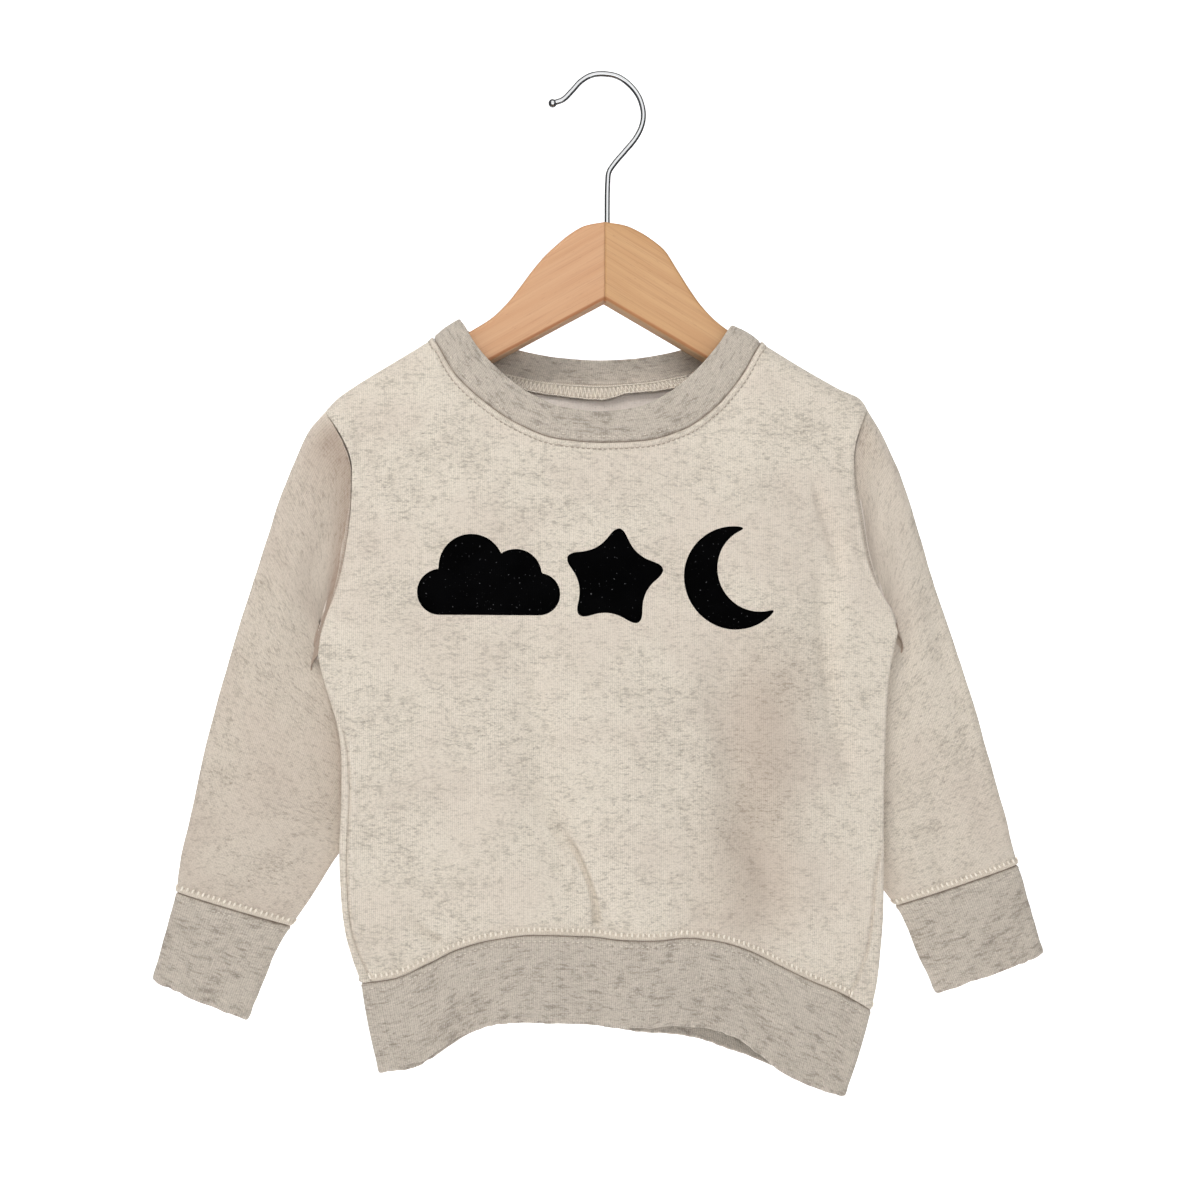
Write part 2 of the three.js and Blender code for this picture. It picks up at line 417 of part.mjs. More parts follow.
// outer[i][j] with matching normals; the inner skin lies a wall's thickness inside.
// wrap closes the i direction into a tube.
function wallSolid(outer, normals, wall, wrap) {
  const ni = outer.length, nj = outer[0].length, points = [], faces = [];
  for (const level of [0, 1]) {
    for (let i = 0; i < ni; i++) for (let j = 0; j < nj; j++) {
      points.push(outer[i][j].clone().addScaledVector(normals[i][j], -level * wall));
    }
  }
  const at = (level, i, j) => level * ni * nj + (i % ni) * nj + j;
  const quad = (a, b, c, d) => faces.push([a, b, c], [a, c, d]);
  const lastI = wrap ? ni : ni - 1;
  for (let i = 0; i < lastI; i++) for (let j = 0; j < nj - 1; j++) {
    quad(at(0, i, j), at(0, i + 1, j), at(0, i + 1, j + 1), at(0, i, j + 1));
    quad(at(1, i, j), at(1, i, j + 1), at(1, i + 1, j + 1), at(1, i + 1, j));
  }
  for (let i = 0; i < lastI; i++) {
    quad(at(0, i, 0), at(1, i, 0), at(1, i + 1, 0), at(0, i + 1, 0));
    quad(at(0, i, nj - 1), at(0, i + 1, nj - 1), at(1, i + 1, nj - 1), at(1, i, nj - 1));
  }
  if (!wrap) for (let j = 0; j < nj - 1; j++) {
    quad(at(0, 0, j), at(0, 0, j + 1), at(1, 0, j + 1), at(1, 0, j));
    quad(at(0, ni - 1, j), at(1, ni - 1, j), at(1, ni - 1, j + 1), at(0, ni - 1, j + 1));
  }
  return solid(points, faces);
}

// Normals of a grid by differences, turned to agree with a hint direction.
function gridNormals(grid, wrap, hint) {
  const ni = grid.length, nj = grid[0].length;
  return grid.map((row, i) => row.map((p, j) => {
    const iA = wrap ? (i + 1) % ni : Math.min(ni - 1, i + 1), iB = wrap ? (i - 1 + ni) % ni : Math.max(0, i - 1);
    const jA = Math.min(nj - 1, j + 1), jB = Math.max(0, j - 1);
    const a = grid[iA][j].clone().sub(grid[iB][j]), b = grid[i][jA].clone().sub(grid[i][jB]);
    const n = new THREE.Vector3().crossVectors(a, b).normalize();
    if (n.dot(hint(i, j)) < 0) n.negate();
    return n;
  }));
}

// ---- stations -------------------------------------------------------------------
const NECK_DEGREES = [0, 5, 11, 19, 29, 41, 55, 72, 90, 108, 125, 139, 151, 161, 169, 175, 180];
const EDGE_STEPS = [0, 0.0026, 0.010, 0.030, 0.075, 0.135];          // of the width, next to a side edge
const ARMHOLE_STEPS = [0, 0.009, 0.034, 0.072, 0.14, 0.24, 0.37, 0.51, 0.65, 0.79, 0.91, 0.977, 1];   // w
const SIDE_STEPS = [0.06, 0.15, 0.26, 0.38, 0.5, 0.62, 0.75, 0.88, 1];   // g

const neckS = NECK_DEGREES.map((deg) => lerp(NECK_S0, NECK_S1, (1 - Math.cos(THREE.MathUtils.degToRad(deg))) / 2));
const sStations = [...EDGE_STEPS, ...neckS, ...EDGE_STEPS.map((k) => 1 - k).reverse()];
const tStations = [
  ...SIDE_STEPS.map((g) => ARMPIT_T * (1 - g)).reverse(),
  ...ARMHOLE_STEPS.map((w) => 1 - w * (1 - ARMPIT_T)).reverse(),
];
const neckFrom = EDGE_STEPS.length, neckTo = neckFrom + NECK_DEGREES.length - 1;
const pitRow = SIDE_STEPS.length, topRow = tStations.length - 1, lastCol = sStations.length - 1;

// ---- shared loops -----------------------------------------------------------------
function neckLoop() {
  const loop = [];
  const put = (face, deg) => {
    const p = neckPoint('Seam', face, deg), rim = neckPoint('Rim', face, deg);
    const end = deg === 0 || deg === 180;
    if (end) { p.y = 0; rim.y = 0; }
    const d = rim.clone().sub(p).normalize();
    loop.push({ face, deg, p, rim, d, out: new THREE.Vector3(deg === 0 ? -1 : deg === 180 ? 1 : 0, end ? 0 : face, end ? 1 : 0) });
  };
  NECK_DEGREES.forEach((deg) => put(-1, deg));
  [...NECK_DEGREES].slice(1, -1).reverse().forEach((deg) => put(1, deg));
  return finishLoop(loop);
}
function armholeLoop(side) {
  const loop = [], sign = side === 'Left' ? -1 : 1;
  const put = (face, w) => {
    const p = armholePoint(side, face, w);
    if (w === 0) p.y = 0;
    if (w === 1) p.y = FOLD.seam;
    const out = w === 0 ? new THREE.Vector3(0, 0, 1) : w === 1 ? new THREE.Vector3(0, 0, -1) : new THREE.Vector3(0, face, 0);
    loop.push({ face, w, p, d: new THREE.Vector3(sign, 0, 0), out });
  };
  ARMHOLE_STEPS.forEach((w) => put(-1, w));
  [...ARMHOLE_STEPS].slice(1, -1).reverse().forEach((w) => put(1, w));
  return finishLoop(loop);
}
function hemLoop() {
  const loop = [];
  const put = (face, i) => {
    const s = sStations[i], end = i === 0 || i === lastCol;
    const p = panelPoint(face, s, 0);
    if (end) p.y = FOLD.seam;
    const low = new THREE.Vector3(lerp(POINTS.hemEndLeft.x, POINTS.hemEndRight.x, s),
      lerp(FOLD.seam, p.y, 0.86), hemCols[face < 0 ? 'frontEnd' : 'backEnd'](s));
    if (end) low.y = FOLD.seam;
    const d = low.clone().sub(p).normalize();
    loop.push({ face, i, p, low, d, out: new THREE.Vector3(i === 0 ? -1 : i === lastCol ? 1 : 0, end ? 0 : face, 0) });
  };
  sStations.forEach((_, i) => put(-1, i));
  for (let i = lastCol - 1; i > 0; i--) put(1, i);
  return finishLoop(loop);
}
const NECK = neckLoop(), ARM = { Left: armholeLoop('Left'), Right: armholeLoop('Right') }, HEM = hemLoop();
const atNeck = (face, i) => NECK.find((q) => q.deg === NECK_DEGREES[i - neckFrom]
  && (q.face === face || q.deg === 0 || q.deg === 180));
const atArm = (side, face, j) => {
  const w = ARMHOLE_STEPS[topRow - j];
  return ARM[side].find((q) => q.w === w && (q.face === face || w === 0 || w === 1));
};
const atHem = (face, i) => HEM.find((q) => q.i === i && (q.face === face || i === 0 || i === lastCol));

// ---- body panels --------------------------------------------------------------------
function panel(face) {
  const half = SEAM_GAP / 2;
  const grid = sStations.map((s) => tStations.map((t) => panelPoint(face, s, t)));
  for (let j = pitRow; j <= topRow; j++) {
    grid[0][j].copy(atArm('Left', face, j).p);
    grid[lastCol][j].copy(atArm('Right', face, j).p);
  }
  for (let i = 0; i <= lastCol; i++) {
    grid[i][0].copy(atHem(face, i).p);
    if (i <= neckFrom || i >= neckTo) grid[i][topRow].y = 0;
    if (i >= neckFrom && i <= neckTo) grid[i][topRow].copy(atNeck(face, i).p);
  }
  const normals = gridNormals(grid, false, () => new THREE.Vector3(0, face, 0));
  const flat = (i, j, axis) => {            // on a front-to-back seam the wall lies in the seam's plane
    const n = normals[i][j];
    n.y = 0;
    if (n.dot(axis) < 0) n.negate();
    n.normalize();
  };
  const up = new THREE.Vector3(0, 0, 1), left = new THREE.Vector3(-1, 0, 0), right = new THREE.Vector3(1, 0, 0);
  const along = (i, a, b) => {
    const run = grid[b][topRow].clone().sub(grid[a][topRow]);
    normals[i][topRow].set(-run.z, 0, run.x).normalize();
    if (normals[i][topRow].dot(up) < 0) normals[i][topRow].negate();
  };
  for (let i = 1; i < lastCol; i++) if (i < neckFrom || i > neckTo) along(i, i - 1, i + 1);
  const edgeRun = (i, j, out) => {
    const run = grid[i][j + 1].clone().sub(grid[i][Math.max(0, j - 1)]);
    normals[i][j].set(run.z, 0, -run.x).normalize();
    if (normals[i][j].dot(out) < 0) normals[i][j].negate();
  };
  for (let j = 1; j < pitRow; j++) { edgeRun(0, j, left); edgeRun(lastCol, j, right); }
  const shift = new Map();
  const move = (i, j, v) => {
    const key = i * 1000 + j;
    shift.set(key, (shift.get(key) || new THREE.Vector3()).add(v));
  };
  for (let i = 0; i <= lastCol; i++) {
    const q = atHem(face, i);
    normals[i][0].copy(q.n);
    move(i, 0, q.d.clone().multiplyScalar(-half));
    if (i >= neckFrom && i <= neckTo) {
      const k = atNeck(face, i);
      normals[i][topRow].copy(k.n);
      move(i, topRow, k.d.clone().multiplyScalar(-half));
    }
    if (i <= neckFrom || i >= neckTo) move(i, topRow, new THREE.Vector3(0, face * half, 0));
  }
  for (let i = neckFrom; i <= neckTo; i++) {      // next to the neck seam the wall turns with the rib's
    const k = atNeck(face, i);
    for (let j = topRow - 1; j > pitRow; j--) {
      const away = grid[i][j].distanceTo(grid[i][topRow]);
      if (away < 10) normals[i][j].lerp(k.n, 1 - smooth(away / 10)).normalize();
    }
  }
  for (const [i, side] of [[0, 'Left'], [lastCol, 'Right']]) {
    for (let j = pitRow; j <= topRow; j++) {
      const q = atArm(side, face, j);
      normals[i][j].copy(q.n);
      move(i, j, q.d.clone().multiplyScalar(-half));
    }
    for (let j = 0; j <= pitRow; j++) move(i, j, new THREE.Vector3(0, face * half, 0));
  }
  for (const [key, v] of shift) grid[Math.floor(key / 1000)][key % 1000].add(v);
  return wallSolid(grid, normals, CLOTH_WALL, false);
}

// ---- tubes: sleeves, cuffs, neck rib, hem band ------------------------------------------
function tubePoint(cols, v, c, face) {
  const o = new THREE.Vector2(cols.outerX(v), cols.outerZ(v)), u = new THREE.Vector2(cols.innerX(v), cols.innerZ(v));
  const k = (c + 1) / 2, round = Math.max(0, 1 - c * c) ** 0.32;
  const front = lerp(cols.frontInner(v), cols.frontOuter(v), v === 0 ? k : k * k), back = lerp(cols.backInner(v), cols.backOuter(v), k);
  return new THREE.Vector3(lerp(u.x, o.x, k), (front + back) / 2 + face * (back - front) / 2 * round, lerp(u.y, o.y, k));
}
const SLEEVE_STEPS = [0, 0.03, 0.08, 0.15, 0.24, 0.34, 0.45, 0.57, 0.69, 0.8, 0.9, 1];
const CUFF_STEPS = [0, 0.12, 0.5, 1];

function sleeveRings(side, steps) {
  const cols = columns(SLEEVE_SECTIONS[side.toLowerCase()], 'v');
  return ARM[side].map((q) => steps.map((v) => {
    const c = 1 - 2 * q.w, flat = tubePoint(cols, 0, c, q.face);
    return tubePoint(cols, v, c, q.face).add(q.p.clone().sub(flat).multiplyScalar(1 - smooth(v / 0.42)));
  }));
}
function sleeveEndLoop(side) {
  const rings = sleeveRings(side, [0.97, 1]);
  const loop = ARM[side].map((q, i) => ({
    p: rings[i][1], d: rings[i][1].clone().sub(rings[i][0]).normalize(),
    out: q.w === 0 ? new THREE.Vector3(side === 'Left' ? -1 : 1, 0, 0) : q.w === 1 ? new THREE.Vector3(side === 'Left' ? 1 : -1, 0, 0) : new THREE.Vector3(0, q.face, 0),
  }));
  const axis = loop.reduce((a, q) => a.add(q.d), new THREE.Vector3()).normalize();
  loop.forEach((q) => q.d.copy(axis));
  return finishLoop(loop);
}
const CUFF_LOOP = { Left: sleeveEndLoop('Left'), Right: sleeveEndLoop('Right') };

function outwardHint(grid) {
  return (i, j) => {
    const centre = grid.reduce((a, row) => a.add(row[j]), new THREE.Vector3()).divideScalar(grid.length);
    return grid[i][j].clone().sub(centre);
  };
}
function sleeve(side) {
  const half = SEAM_GAP / 2, grid = sleeveRings(side, SLEEVE_STEPS), last = SLEEVE_STEPS.length - 1;
  const normals = gridNormals(grid, true, outwardHint(grid));
  ARM[side].forEach((q, i) => {
    normals[i][0].copy(q.n);
    grid[i][0].addScaledVector(q.d, half);
    const e = CUFF_LOOP[side][i];
    normals[i][last].copy(e.n);
    grid[i][last].addScaledVector(e.d, -half);
  });
  return wallSolid(grid, normals, CLOTH_WALL, true);
}
function cuff(side) {
  const half = SEAM_GAP / 2, cols = columns(CUFF_SECTIONS[side.toLowerCase()], 'v');
  const grid = ARM[side].map((q, i) => CUFF_STEPS.map((v) => (v === 0
    ? CUFF_LOOP[side][i].p.clone() : tubePoint(cols, v, 1 - 2 * q.w, q.face))));
  const normals = gridNormals(grid, true, outwardHint(grid));
  CUFF_LOOP[side].forEach((e, i) => {
    normals[i][0].copy(e.n);
    grid[i][0].addScaledVector(e.d, half);
  });
  return wallSolid(grid, normals, RIB_WALL, true);
}
function ringBand(loop, endKey, steps, belly, wall) {
  const half = SEAM_GAP / 2;
  const grid = loop.map((q) => steps.map((k) => q.p.clone().lerp(q[endKey], k)
    .addScaledVector(q.n, belly * Math.sin(Math.PI * k))));
  const normals = gridNormals(grid, true, (i) => loop[i].n);
  loop.forEach((q, i) => {
    normals[i][0].copy(q.n);
    normals[i][1].lerp(q.n, 0.3).normalize();
    grid[i][0].addScaledVector(q.d, half);
  });
  return wallSolid(grid, normals, wall, true);
}

// ---- hanger and hook ----------------------------------------------------------------------
function toManifold(geometry) {
  const g = geometry.clone();
  for (const name of ['normal', 'uv']) g.deleteAttribute(name);
  const m = mergeVertices(g, 1e-4);
  return new wasm.Manifold(new wasm.Mesh({
    numProp: 3,
    vertProperties: new Float32Array(m.attributes.position.array),
    triVerts: new Uint32Array(m.index.array),
  }));
}
function fromManifold(manifold) {
  const mesh = manifold.getMesh(), g = new THREE.BufferGeometry();
  g.setAttribute('position', new THREE.BufferAttribute(new Float32Array(mesh.vertProperties), 3));
  g.setIndex(new THREE.BufferAttribute(new Uint32Array(mesh.triVerts), 1));
  g.computeVertexNormals();
  return g;
}
function box(x0, x1, y0, y1, z0, z1) {
  return new THREE.BoxGeometry(x1 - x0, y1 - y0, z1 - z0).translate((x0 + x1) / 2, (y0 + y1) / 2, (z0 + z1) / 2);
}
function hangerBlank() {
  const cols = columns(HANGER_SECTIONS, 'r'), last = HANGER_SECTIONS[HANGER_SECTIONS.length - 1].r;
  const steps = [...HANGER_SECTIONS.map((row) => row.r)];
  const m = HANGER.mitreX, outline = [];
  for (const r of [...steps].reverse()) outline.push([m - r, cols.topLeft(r)]);
  for (const r of steps.slice(1)) outline.push([m + r, cols.topRight(r)]);
  for (const r of [last, 134, 115, 63]) outline.push([m + r, cols.low(r) + (r === last ? 0 : 0)]);
  outline.push([m, cols.low(0)]);
  for (const r of [63, 115, 134, last]) outline.push([m - r, cols.low(r)]);
  const shape = new THREE.Shape(outline.map(([x, z]) => new THREE.Vector2(x, z)));
  const g = new THREE.ExtrudeGeometry(shape, {
    depth: 2 * (HANGER.half - HANGER.bevel), bevelEnabled: true, bevelThickness: HANGER.bevel,
    bevelSize: HANGER.bevel, bevelOffset: -HANGER.bevel, bevelSegments: 3, steps: 1,
  });
  g.translate(0, 0, -(HANGER.half - HANGER.bevel));
  g.rotateX(Math.PI / 2);
  return g;
}
function hangerHalves() {
  const socket = new THREE.CylinderGeometry(HOOK.socket, HOOK.socket, 40, 16)
    .rotateX(Math.PI / 2).translate(HOOK.stemX, 0, HOOK.socketBottom + 20);
  const blank = toManifold(hangerBlank()).subtract(toManifold(socket));
  const m = HANGER.mitreX, half = SEAM_GAP / 2;
  return {
    left: fromManifold(blank.intersect(toManifold(box(-400, m - half, -50, 50, -400, 50)))),
    right: fromManifold(blank.intersect(toManifold(box(m + half, 400, -50, 50, -400, 50)))),
  };
}
function hook() {
  const path = new THREE.CatmullRomCurve3(HOOK_SECTIONS.map((q) => new THREE.Vector3(q.x, 0, q.z)), false, 'centripetal');
  const ring = new THREE.Shape();
  for (let i = 0; i < 8; i++) {
    const a = (i / 8) * 2 * Math.PI;
    ring[i ? 'lineTo' : 'moveTo'](HOOK.wire * Math.cos(a), HOOK.wire * Math.sin(a));
  }
  ring.closePath();
  const wire = new THREE.ExtrudeGeometry(ring, { steps: 46, extrudePath: path, bevelEnabled: false });
  const end = HOOK_SECTIONS[HOOK_SECTIONS.length - 1];
  const ball = new THREE.SphereGeometry(HOOK.ball, 12, 8).translate(end.x - 0.6, 0, end.z - 0.2);
  return fromManifold(toManifold(wire).add(toManifold(ball)));
}

// ---- the object -------------------------------------------------------------------------------
const sweatshirt = new THREE.Group();
function put(name, geometry, finish) {
  const mesh = new THREE.Mesh(geometry, new THREE.MeshStandardMaterial({ ...COLOURS[finish], side: THREE.DoubleSide }));
  mesh.name = name;
  sweatshirt.add(mesh);
}
put('front', panel(-1), 'fleece');
put('back', panel(1), 'fleece');
put('sleeve_left', sleeve('Left'), 'fleece');
put('sleeve_right', sleeve('Right'), 'fleece');
put('neck_rib', ringBand(NECK, 'rim', [0, 0.35, 0.75, 1], 0.9, RIB_WALL), 'rib');
put('cuff_left', cuff('Left'), 'rib');
put('cuff_right', cuff('Right'), 'rib');
put('hem_band', ringBand(HEM, 'low', [0, 0.2, 0.6, 1], 0.8, RIB_WALL), 'rib');
const halves = hangerHalves();
put('hanger_left', halves.left, 'woodLeft');
put('hanger_right', halves.right, 'woodRight');
put('hook', hook(), 'chrome');

export default sweatshirt;
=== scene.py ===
"""A crewneck sweatshirt on a flat wooden hanger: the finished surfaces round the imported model.

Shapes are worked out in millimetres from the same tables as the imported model, at a finer step,
with creases, seams, stitches and ribbing added, and are written to Blender in metres.
"""
import math

import bpy
import numpy as np
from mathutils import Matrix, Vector
from mathutils.bvhtree import BVHTree
from mathutils.geometry import delaunay_2d_cdt


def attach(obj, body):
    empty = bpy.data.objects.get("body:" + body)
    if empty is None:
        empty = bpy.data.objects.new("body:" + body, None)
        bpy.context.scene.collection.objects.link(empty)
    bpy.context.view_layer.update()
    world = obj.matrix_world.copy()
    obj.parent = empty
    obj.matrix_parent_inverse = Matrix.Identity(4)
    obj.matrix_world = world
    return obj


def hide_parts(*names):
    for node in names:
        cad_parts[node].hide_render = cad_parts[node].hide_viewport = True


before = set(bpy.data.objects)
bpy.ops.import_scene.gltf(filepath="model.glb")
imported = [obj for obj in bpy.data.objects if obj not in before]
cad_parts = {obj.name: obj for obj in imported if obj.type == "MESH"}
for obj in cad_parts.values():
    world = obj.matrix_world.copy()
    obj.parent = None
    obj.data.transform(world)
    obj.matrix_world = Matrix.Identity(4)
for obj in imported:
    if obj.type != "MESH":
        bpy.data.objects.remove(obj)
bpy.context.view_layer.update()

# ---------------------------------------------------------------- camera
TARGET = Vector((-0.002874, 0.0, -0.300905))
EYE = Vector((-0.071465, -0.783999, -0.369758))
camera_data = bpy.data.cameras.new("camera")
camera_data.sensor_width = 36.0
camera_data.lens = 42.78
camera_data.clip_start, camera_data.clip_end = 0.01, 20.0
camera = bpy.data.objects.new("camera", camera_data)
camera.location = EYE
camera.rotation_mode = "QUATERNION"
camera.rotation_quaternion = (TARGET - EYE).to_track_quat("-Z", "Y")
bpy.context.scene.collection.objects.link(camera)
bpy.context.scene.camera = camera

# ---------------------------------------------------------------- sizes, millimetres
CLOTH_WALL = 1.7
RIB_WALL = 2.2
SEAM_GAP = 0.3
RIDGE_RADIUS = 10.2
SHOULDER_COS = 0.84
FOLD_FRONT, FOLD_SEAM, FOLD_BACK, FOLD_REACH = -12.2, -9.3, -6.4, 2.9
NECK_FOLD = {-1: 6.0, 1: 4.0}
ARMPIT_T = 0.585
STITCH = 2.9                      # one cover stitch along a seam

P = {
    "neck": ((-95.7, -155.6), (87.6, -153.5)),
    "rim": ((-81.4, -144.4), (71.3, -144.1)),
    "tip": ((-154.6, -198.1), (149.4, -191.0)),
    "armpit": ((-155.5, -332.5), (162.5, -319.0)),
    "hem": ((-130.2, -505.0), (144.0, -523.7)),
    "hem_end": ((-120.0, -551.8), (128.4, -569.4)),
}
# deg, frontSeam, frontRim, backSeam, backRim
NECK_SECTIONS = [
    (0, 0, 0, 0, 0), (15, 8.0, 5.5, 2.6, 2.1), (30, 23.2, 17.9, 7.6, 6.2), (45, 37.3, 30.9, 13.2, 10.7),
    (60, 50.4, 43.0, 18.3, 14.9), (75, 58.9, 50.9, 21.8, 17.7), (90, 61.0, 53.1, 23.0, 18.7),
    (105, 59.8, 50.8, 21.6, 17.6), (120, 53.4, 42.4, 18.0, 14.6), (135, 40.1, 29.1, 12.8, 10.4),
    (150, 22.8, 15.3, 7.4, 6.0), (165, 7.0, 4.2, 2.5, 2.0), (180, 0, 0, 0, 0),
]
# k, leftX, leftZ, rightX, rightZ
SHOULDER_SECTIONS = [
    (0, -154.6, -198.1, 149.4, -191.0), (0.05, -152.3, -195.2, 148.0, -188.3),
    (0.125, -148.6, -191.2, 144.6, -184.4), (0.21, -144.0, -187.4, 139.2, -181.9),
    (0.285, -139.4, -184.1, 134.0, -179.9), (0.4, -132.3, -179.3, 126.4, -175.9),
    (0.6, -120.0, -171.4, 113.6, -168.9), (0.84, -105.4, -162.0, 98.4, -160.0),
    (1, -95.7, -155.6, 87.6, -153.5),
]
# w, left, right
ARMHOLE_SECTIONS = [
    (0, -154.6, 149.4), (0.03, -152.4, 146.9), (0.07, -148.7, 144.6), (0.12, -144.7, 142.3),
    (0.18, -141.0, 140.2), (0.25, -139.1, 139.2), (0.35, -139.1, 139.7), (0.5, -140.5, 142.4),
    (0.65, -143.6, 145.4), (0.75, -147.0, 149.0), (0.85, -151.8, 155.0), (0.93, -154.6, 160.6),
    (1, -155.5, 162.5),
]
# g, left, right
SIDE_SECTIONS = [
    (0, -155.5, 162.5), (0.04, -154.1, 160.6), (0.09, -151.7, 158.2), (0.15, -148.3, 156.4),
    (0.22, -144.6, 155.2), (0.32, -142.3, 154.1), (0.45, -142.0, 153.0), (0.6, -142.6, 152.4),
    (0.75, -141.2, 151.5), (0.85, -138.8, 149.6), (0.93, -134.8, 147.4), (1, -130.2, 144.0),
]
# s, seam, frontEnd, backEnd
HEM_SECTIONS = [
    (0, -505.0, -551.8, -551.8), (0.0625, -502.7, -548.6, -550.6), (0.125, -495.6, -540.3, -544.2),
    (0.19, -487.4, -531.0, -535.2), (0.25, -482.9, -527.4, -531.0), (0.33, -480.5, -526.5, -529.8),
    (0.44, -481.9, -528.1, -531.8), (0.5, -483.7, -530.0, -534.0), (0.5625, -484.2, -530.4, -535.8),
    (0.625, -482.9, -529.5, -537.2), (0.6875, -484.9, -530.9, -540.5), (0.75, -490.1, -535.2, -545.6),
    (0.8125, -498.5, -546.0, -550.8), (0.875, -506.8, -557.6, -557.8), (0.9375, -514.2, -564.4, -564.6),
    (1, -523.7, -569.4, -569.4),
]
# t, frontBulge, backMiddle, tuck
BODY_SECTIONS = [
    (0, 6.0, 8.0, 8), (0.1, 7.8, 10.0, 22), (0.25, 8.8, 11.0, 36), (0.42, 8.6, 12.0, 38),
    (0.52, 8.0, 12.0, 22), (0.585, 7.4, 12.0, 6), (0.7, 6.2, 12.0, 0), (0.85, 5.0, 11.5, 0),
    (1, 4.0, 11.0, 0),
]
# face, x0, z0, x1, z1, width, depth
BODY_FOLDS = [
    (-1, -48, -320, -30, -420, 17, 2.2), (-1, -30, -420, -8, -476, 15, 3.4),
    (-1, 66, -330, 86, -474, 17, 2.6), (-1, 124, -262, 121, -330, 14, 2.0),
    (-1, 121, -330, 133, -400, 13, 1.6), (-1, -104, -455, -86, -484, 15, 1.8),
    (1, 38, -300, 22, -470, 20, 2.6), (1, -52, -330, -40, -480, 18, 2.2),
]
# v, outerX, outerZ, innerX, innerZ, frontOuter, frontInner, backOuter, backInner
SLEEVE_SECTIONS = {
    -1: [
        (0, -154.6, -198.1, -155.5, -332.5, -9.6, -11.6, 8.5, -5.8),
        (0.06, -163.8, -209.9, -159.4, -339.5, -9.6, -7.2, 9.0, -1.0),
        (0.12, -170.2, -224.2, -157.6, -346.0, -9.0, -4.8, 9.2, 2.0),
        (0.2, -176.3, -240.2, -152.0, -353.0, -8.4, -4.6, 9.6, 5.0),
        (0.38, -190.4, -288.4, -123.0, -377.0, -8.4, -4.4, 10.4, 7.6),
        (0.53, -203.3, -334.8, -116.0, -400.0, -8.0, -4.4, 10.6, 9.0),
        (0.68, -215.0, -379.5, -127.0, -422.0, -7.6, -4.4, 10.2, 9.4),
        (0.82, -222.6, -420.0, -144.4, -440.4, -7.2, -4.6, 9.6, 9.2),
        (0.91, -226.8, -440.5, -155.6, -458.4, -6.8, -5.2, 9.0, 8.8),
        (1, -228.4, -457.8, -168.0, -476.4, -6.0, -5.4, 8.4, 8.2),
    ],
    1: [
        (0, 149.4, -191.0, 162.5, -319.0, -9.6, -11.6, 8.5, -5.8),
        (0.06, 158.0, -205.5, 166.4, -326.5, -9.6, -7.2, 9.0, -1.0),
        (0.12, 164.6, -219.4, 164.8, -333.5, -9.0, -4.8, 9.2, 2.0),
        (0.2, 170.6, -234.5, 159.6, -341.0, -8.4, -4.6, 9.6, 5.0),
        (0.38, 184.6, -282.7, 130.0, -366.0, -8.4, -4.4, 10.4, 7.6),
        (0.53, 197.8, -325.0, 121.0, -390.0, -8.0, -4.4, 10.6, 9.0),
        (0.68, 210.2, -364.5, 128.0, -413.0, -7.6, -4.4, 10.2, 9.4),
        (0.82, 221.0, -405.0, 139.5, -434.0, -7.2, -4.6, 9.6, 9.2),
        (0.91, 227.0, -428.0, 149.4, -453.5, -6.8, -5.2, 9.0, 8.8),
        (1, 231.4, -447.2, 161.5, -469.2, -6.0, -5.4, 8.4, 8.2),
    ],
}
CUFF_SECTIONS = {
    -1: [
        (0, -228.4, -457.8, -168.0, -476.4, -6.0, -5.4, 8.4, 8.2),
        (0.12, -229.8, -463.2, -171.9, -482.2, -5.6, -5.2, 8.0, 7.8),
        (0.55, -234.8, -483.0, -181.4, -503.0, -5.2, -5.0, 7.6, 7.4),
        (1, -239.8, -503.0, -190.0, -525.2, -5.0, -4.8, 7.4, 7.2),
    ],
    1: [
        (0, 231.4, -447.2, 161.5, -469.2, -6.0, -5.4, 8.4, 8.2),
        (0.12, 233.4, -453.0, 165.4, -475.0, -5.6, -5.2, 8.0, 7.8),
        (0.55, 239.2, -474.4, 174.6, -497.2, -5.2, -5.0, 7.6, 7.4),
        (1, 245.0, -496.4, 183.8, -517.3, -5.0, -4.8, 7.4, 7.2),
    ],
}
# r, topLeft, topRight, low
HANGER_SECTIONS = [
    (0, -86.9, -86.9, -132.4), (11, -89.4, -88.5, -138.7), (20, -94.8, -92.2, -143.8),
    (27, -100.9, -96.6, -147.8), (34, -107.8, -102.4, -151.8), (41, -116.5, -113.2, -155.8),
    (48, -126.4, -124.4, -159.8), (55, -135.6, -134.2, -163.7), (63, -143.7, -142.5, -168.3),
    (75, -151.8, -151.2, -175.1), (95, -164.2, -164.0, -186.5), (115, -175.6, -175.4, -197.0),
    (128, -183.4, -182.8, -202.6), (134, -187.8, -187.2, -203.6), (137, -192.5, -191.8, -202.0),
]
HANGER_HALF, HANGER_BEVEL, MITRE_X = 6.0, 2.6, -0.5
HOOK_WIRE, HOOK_BALL = 1.5, 2.3
HOOK_SECTIONS = [
    (1.2, -106), (1.2, -84), (1.5, -63), (2.2, -56.5), (5.4, -51.2), (11.4, -43.8), (17.6, -35.8),
    (21.2, -28), (22.0, -20.5), (19.6, -11.6), (14.4, -4.6), (7.4, 0.2), (-0.6, 1.5), (-7.6, 0.5),
    (-13.8, -3.4), (-19.0, -9.4), (-24.0, -14.6), (-29.4, -16.9),
]

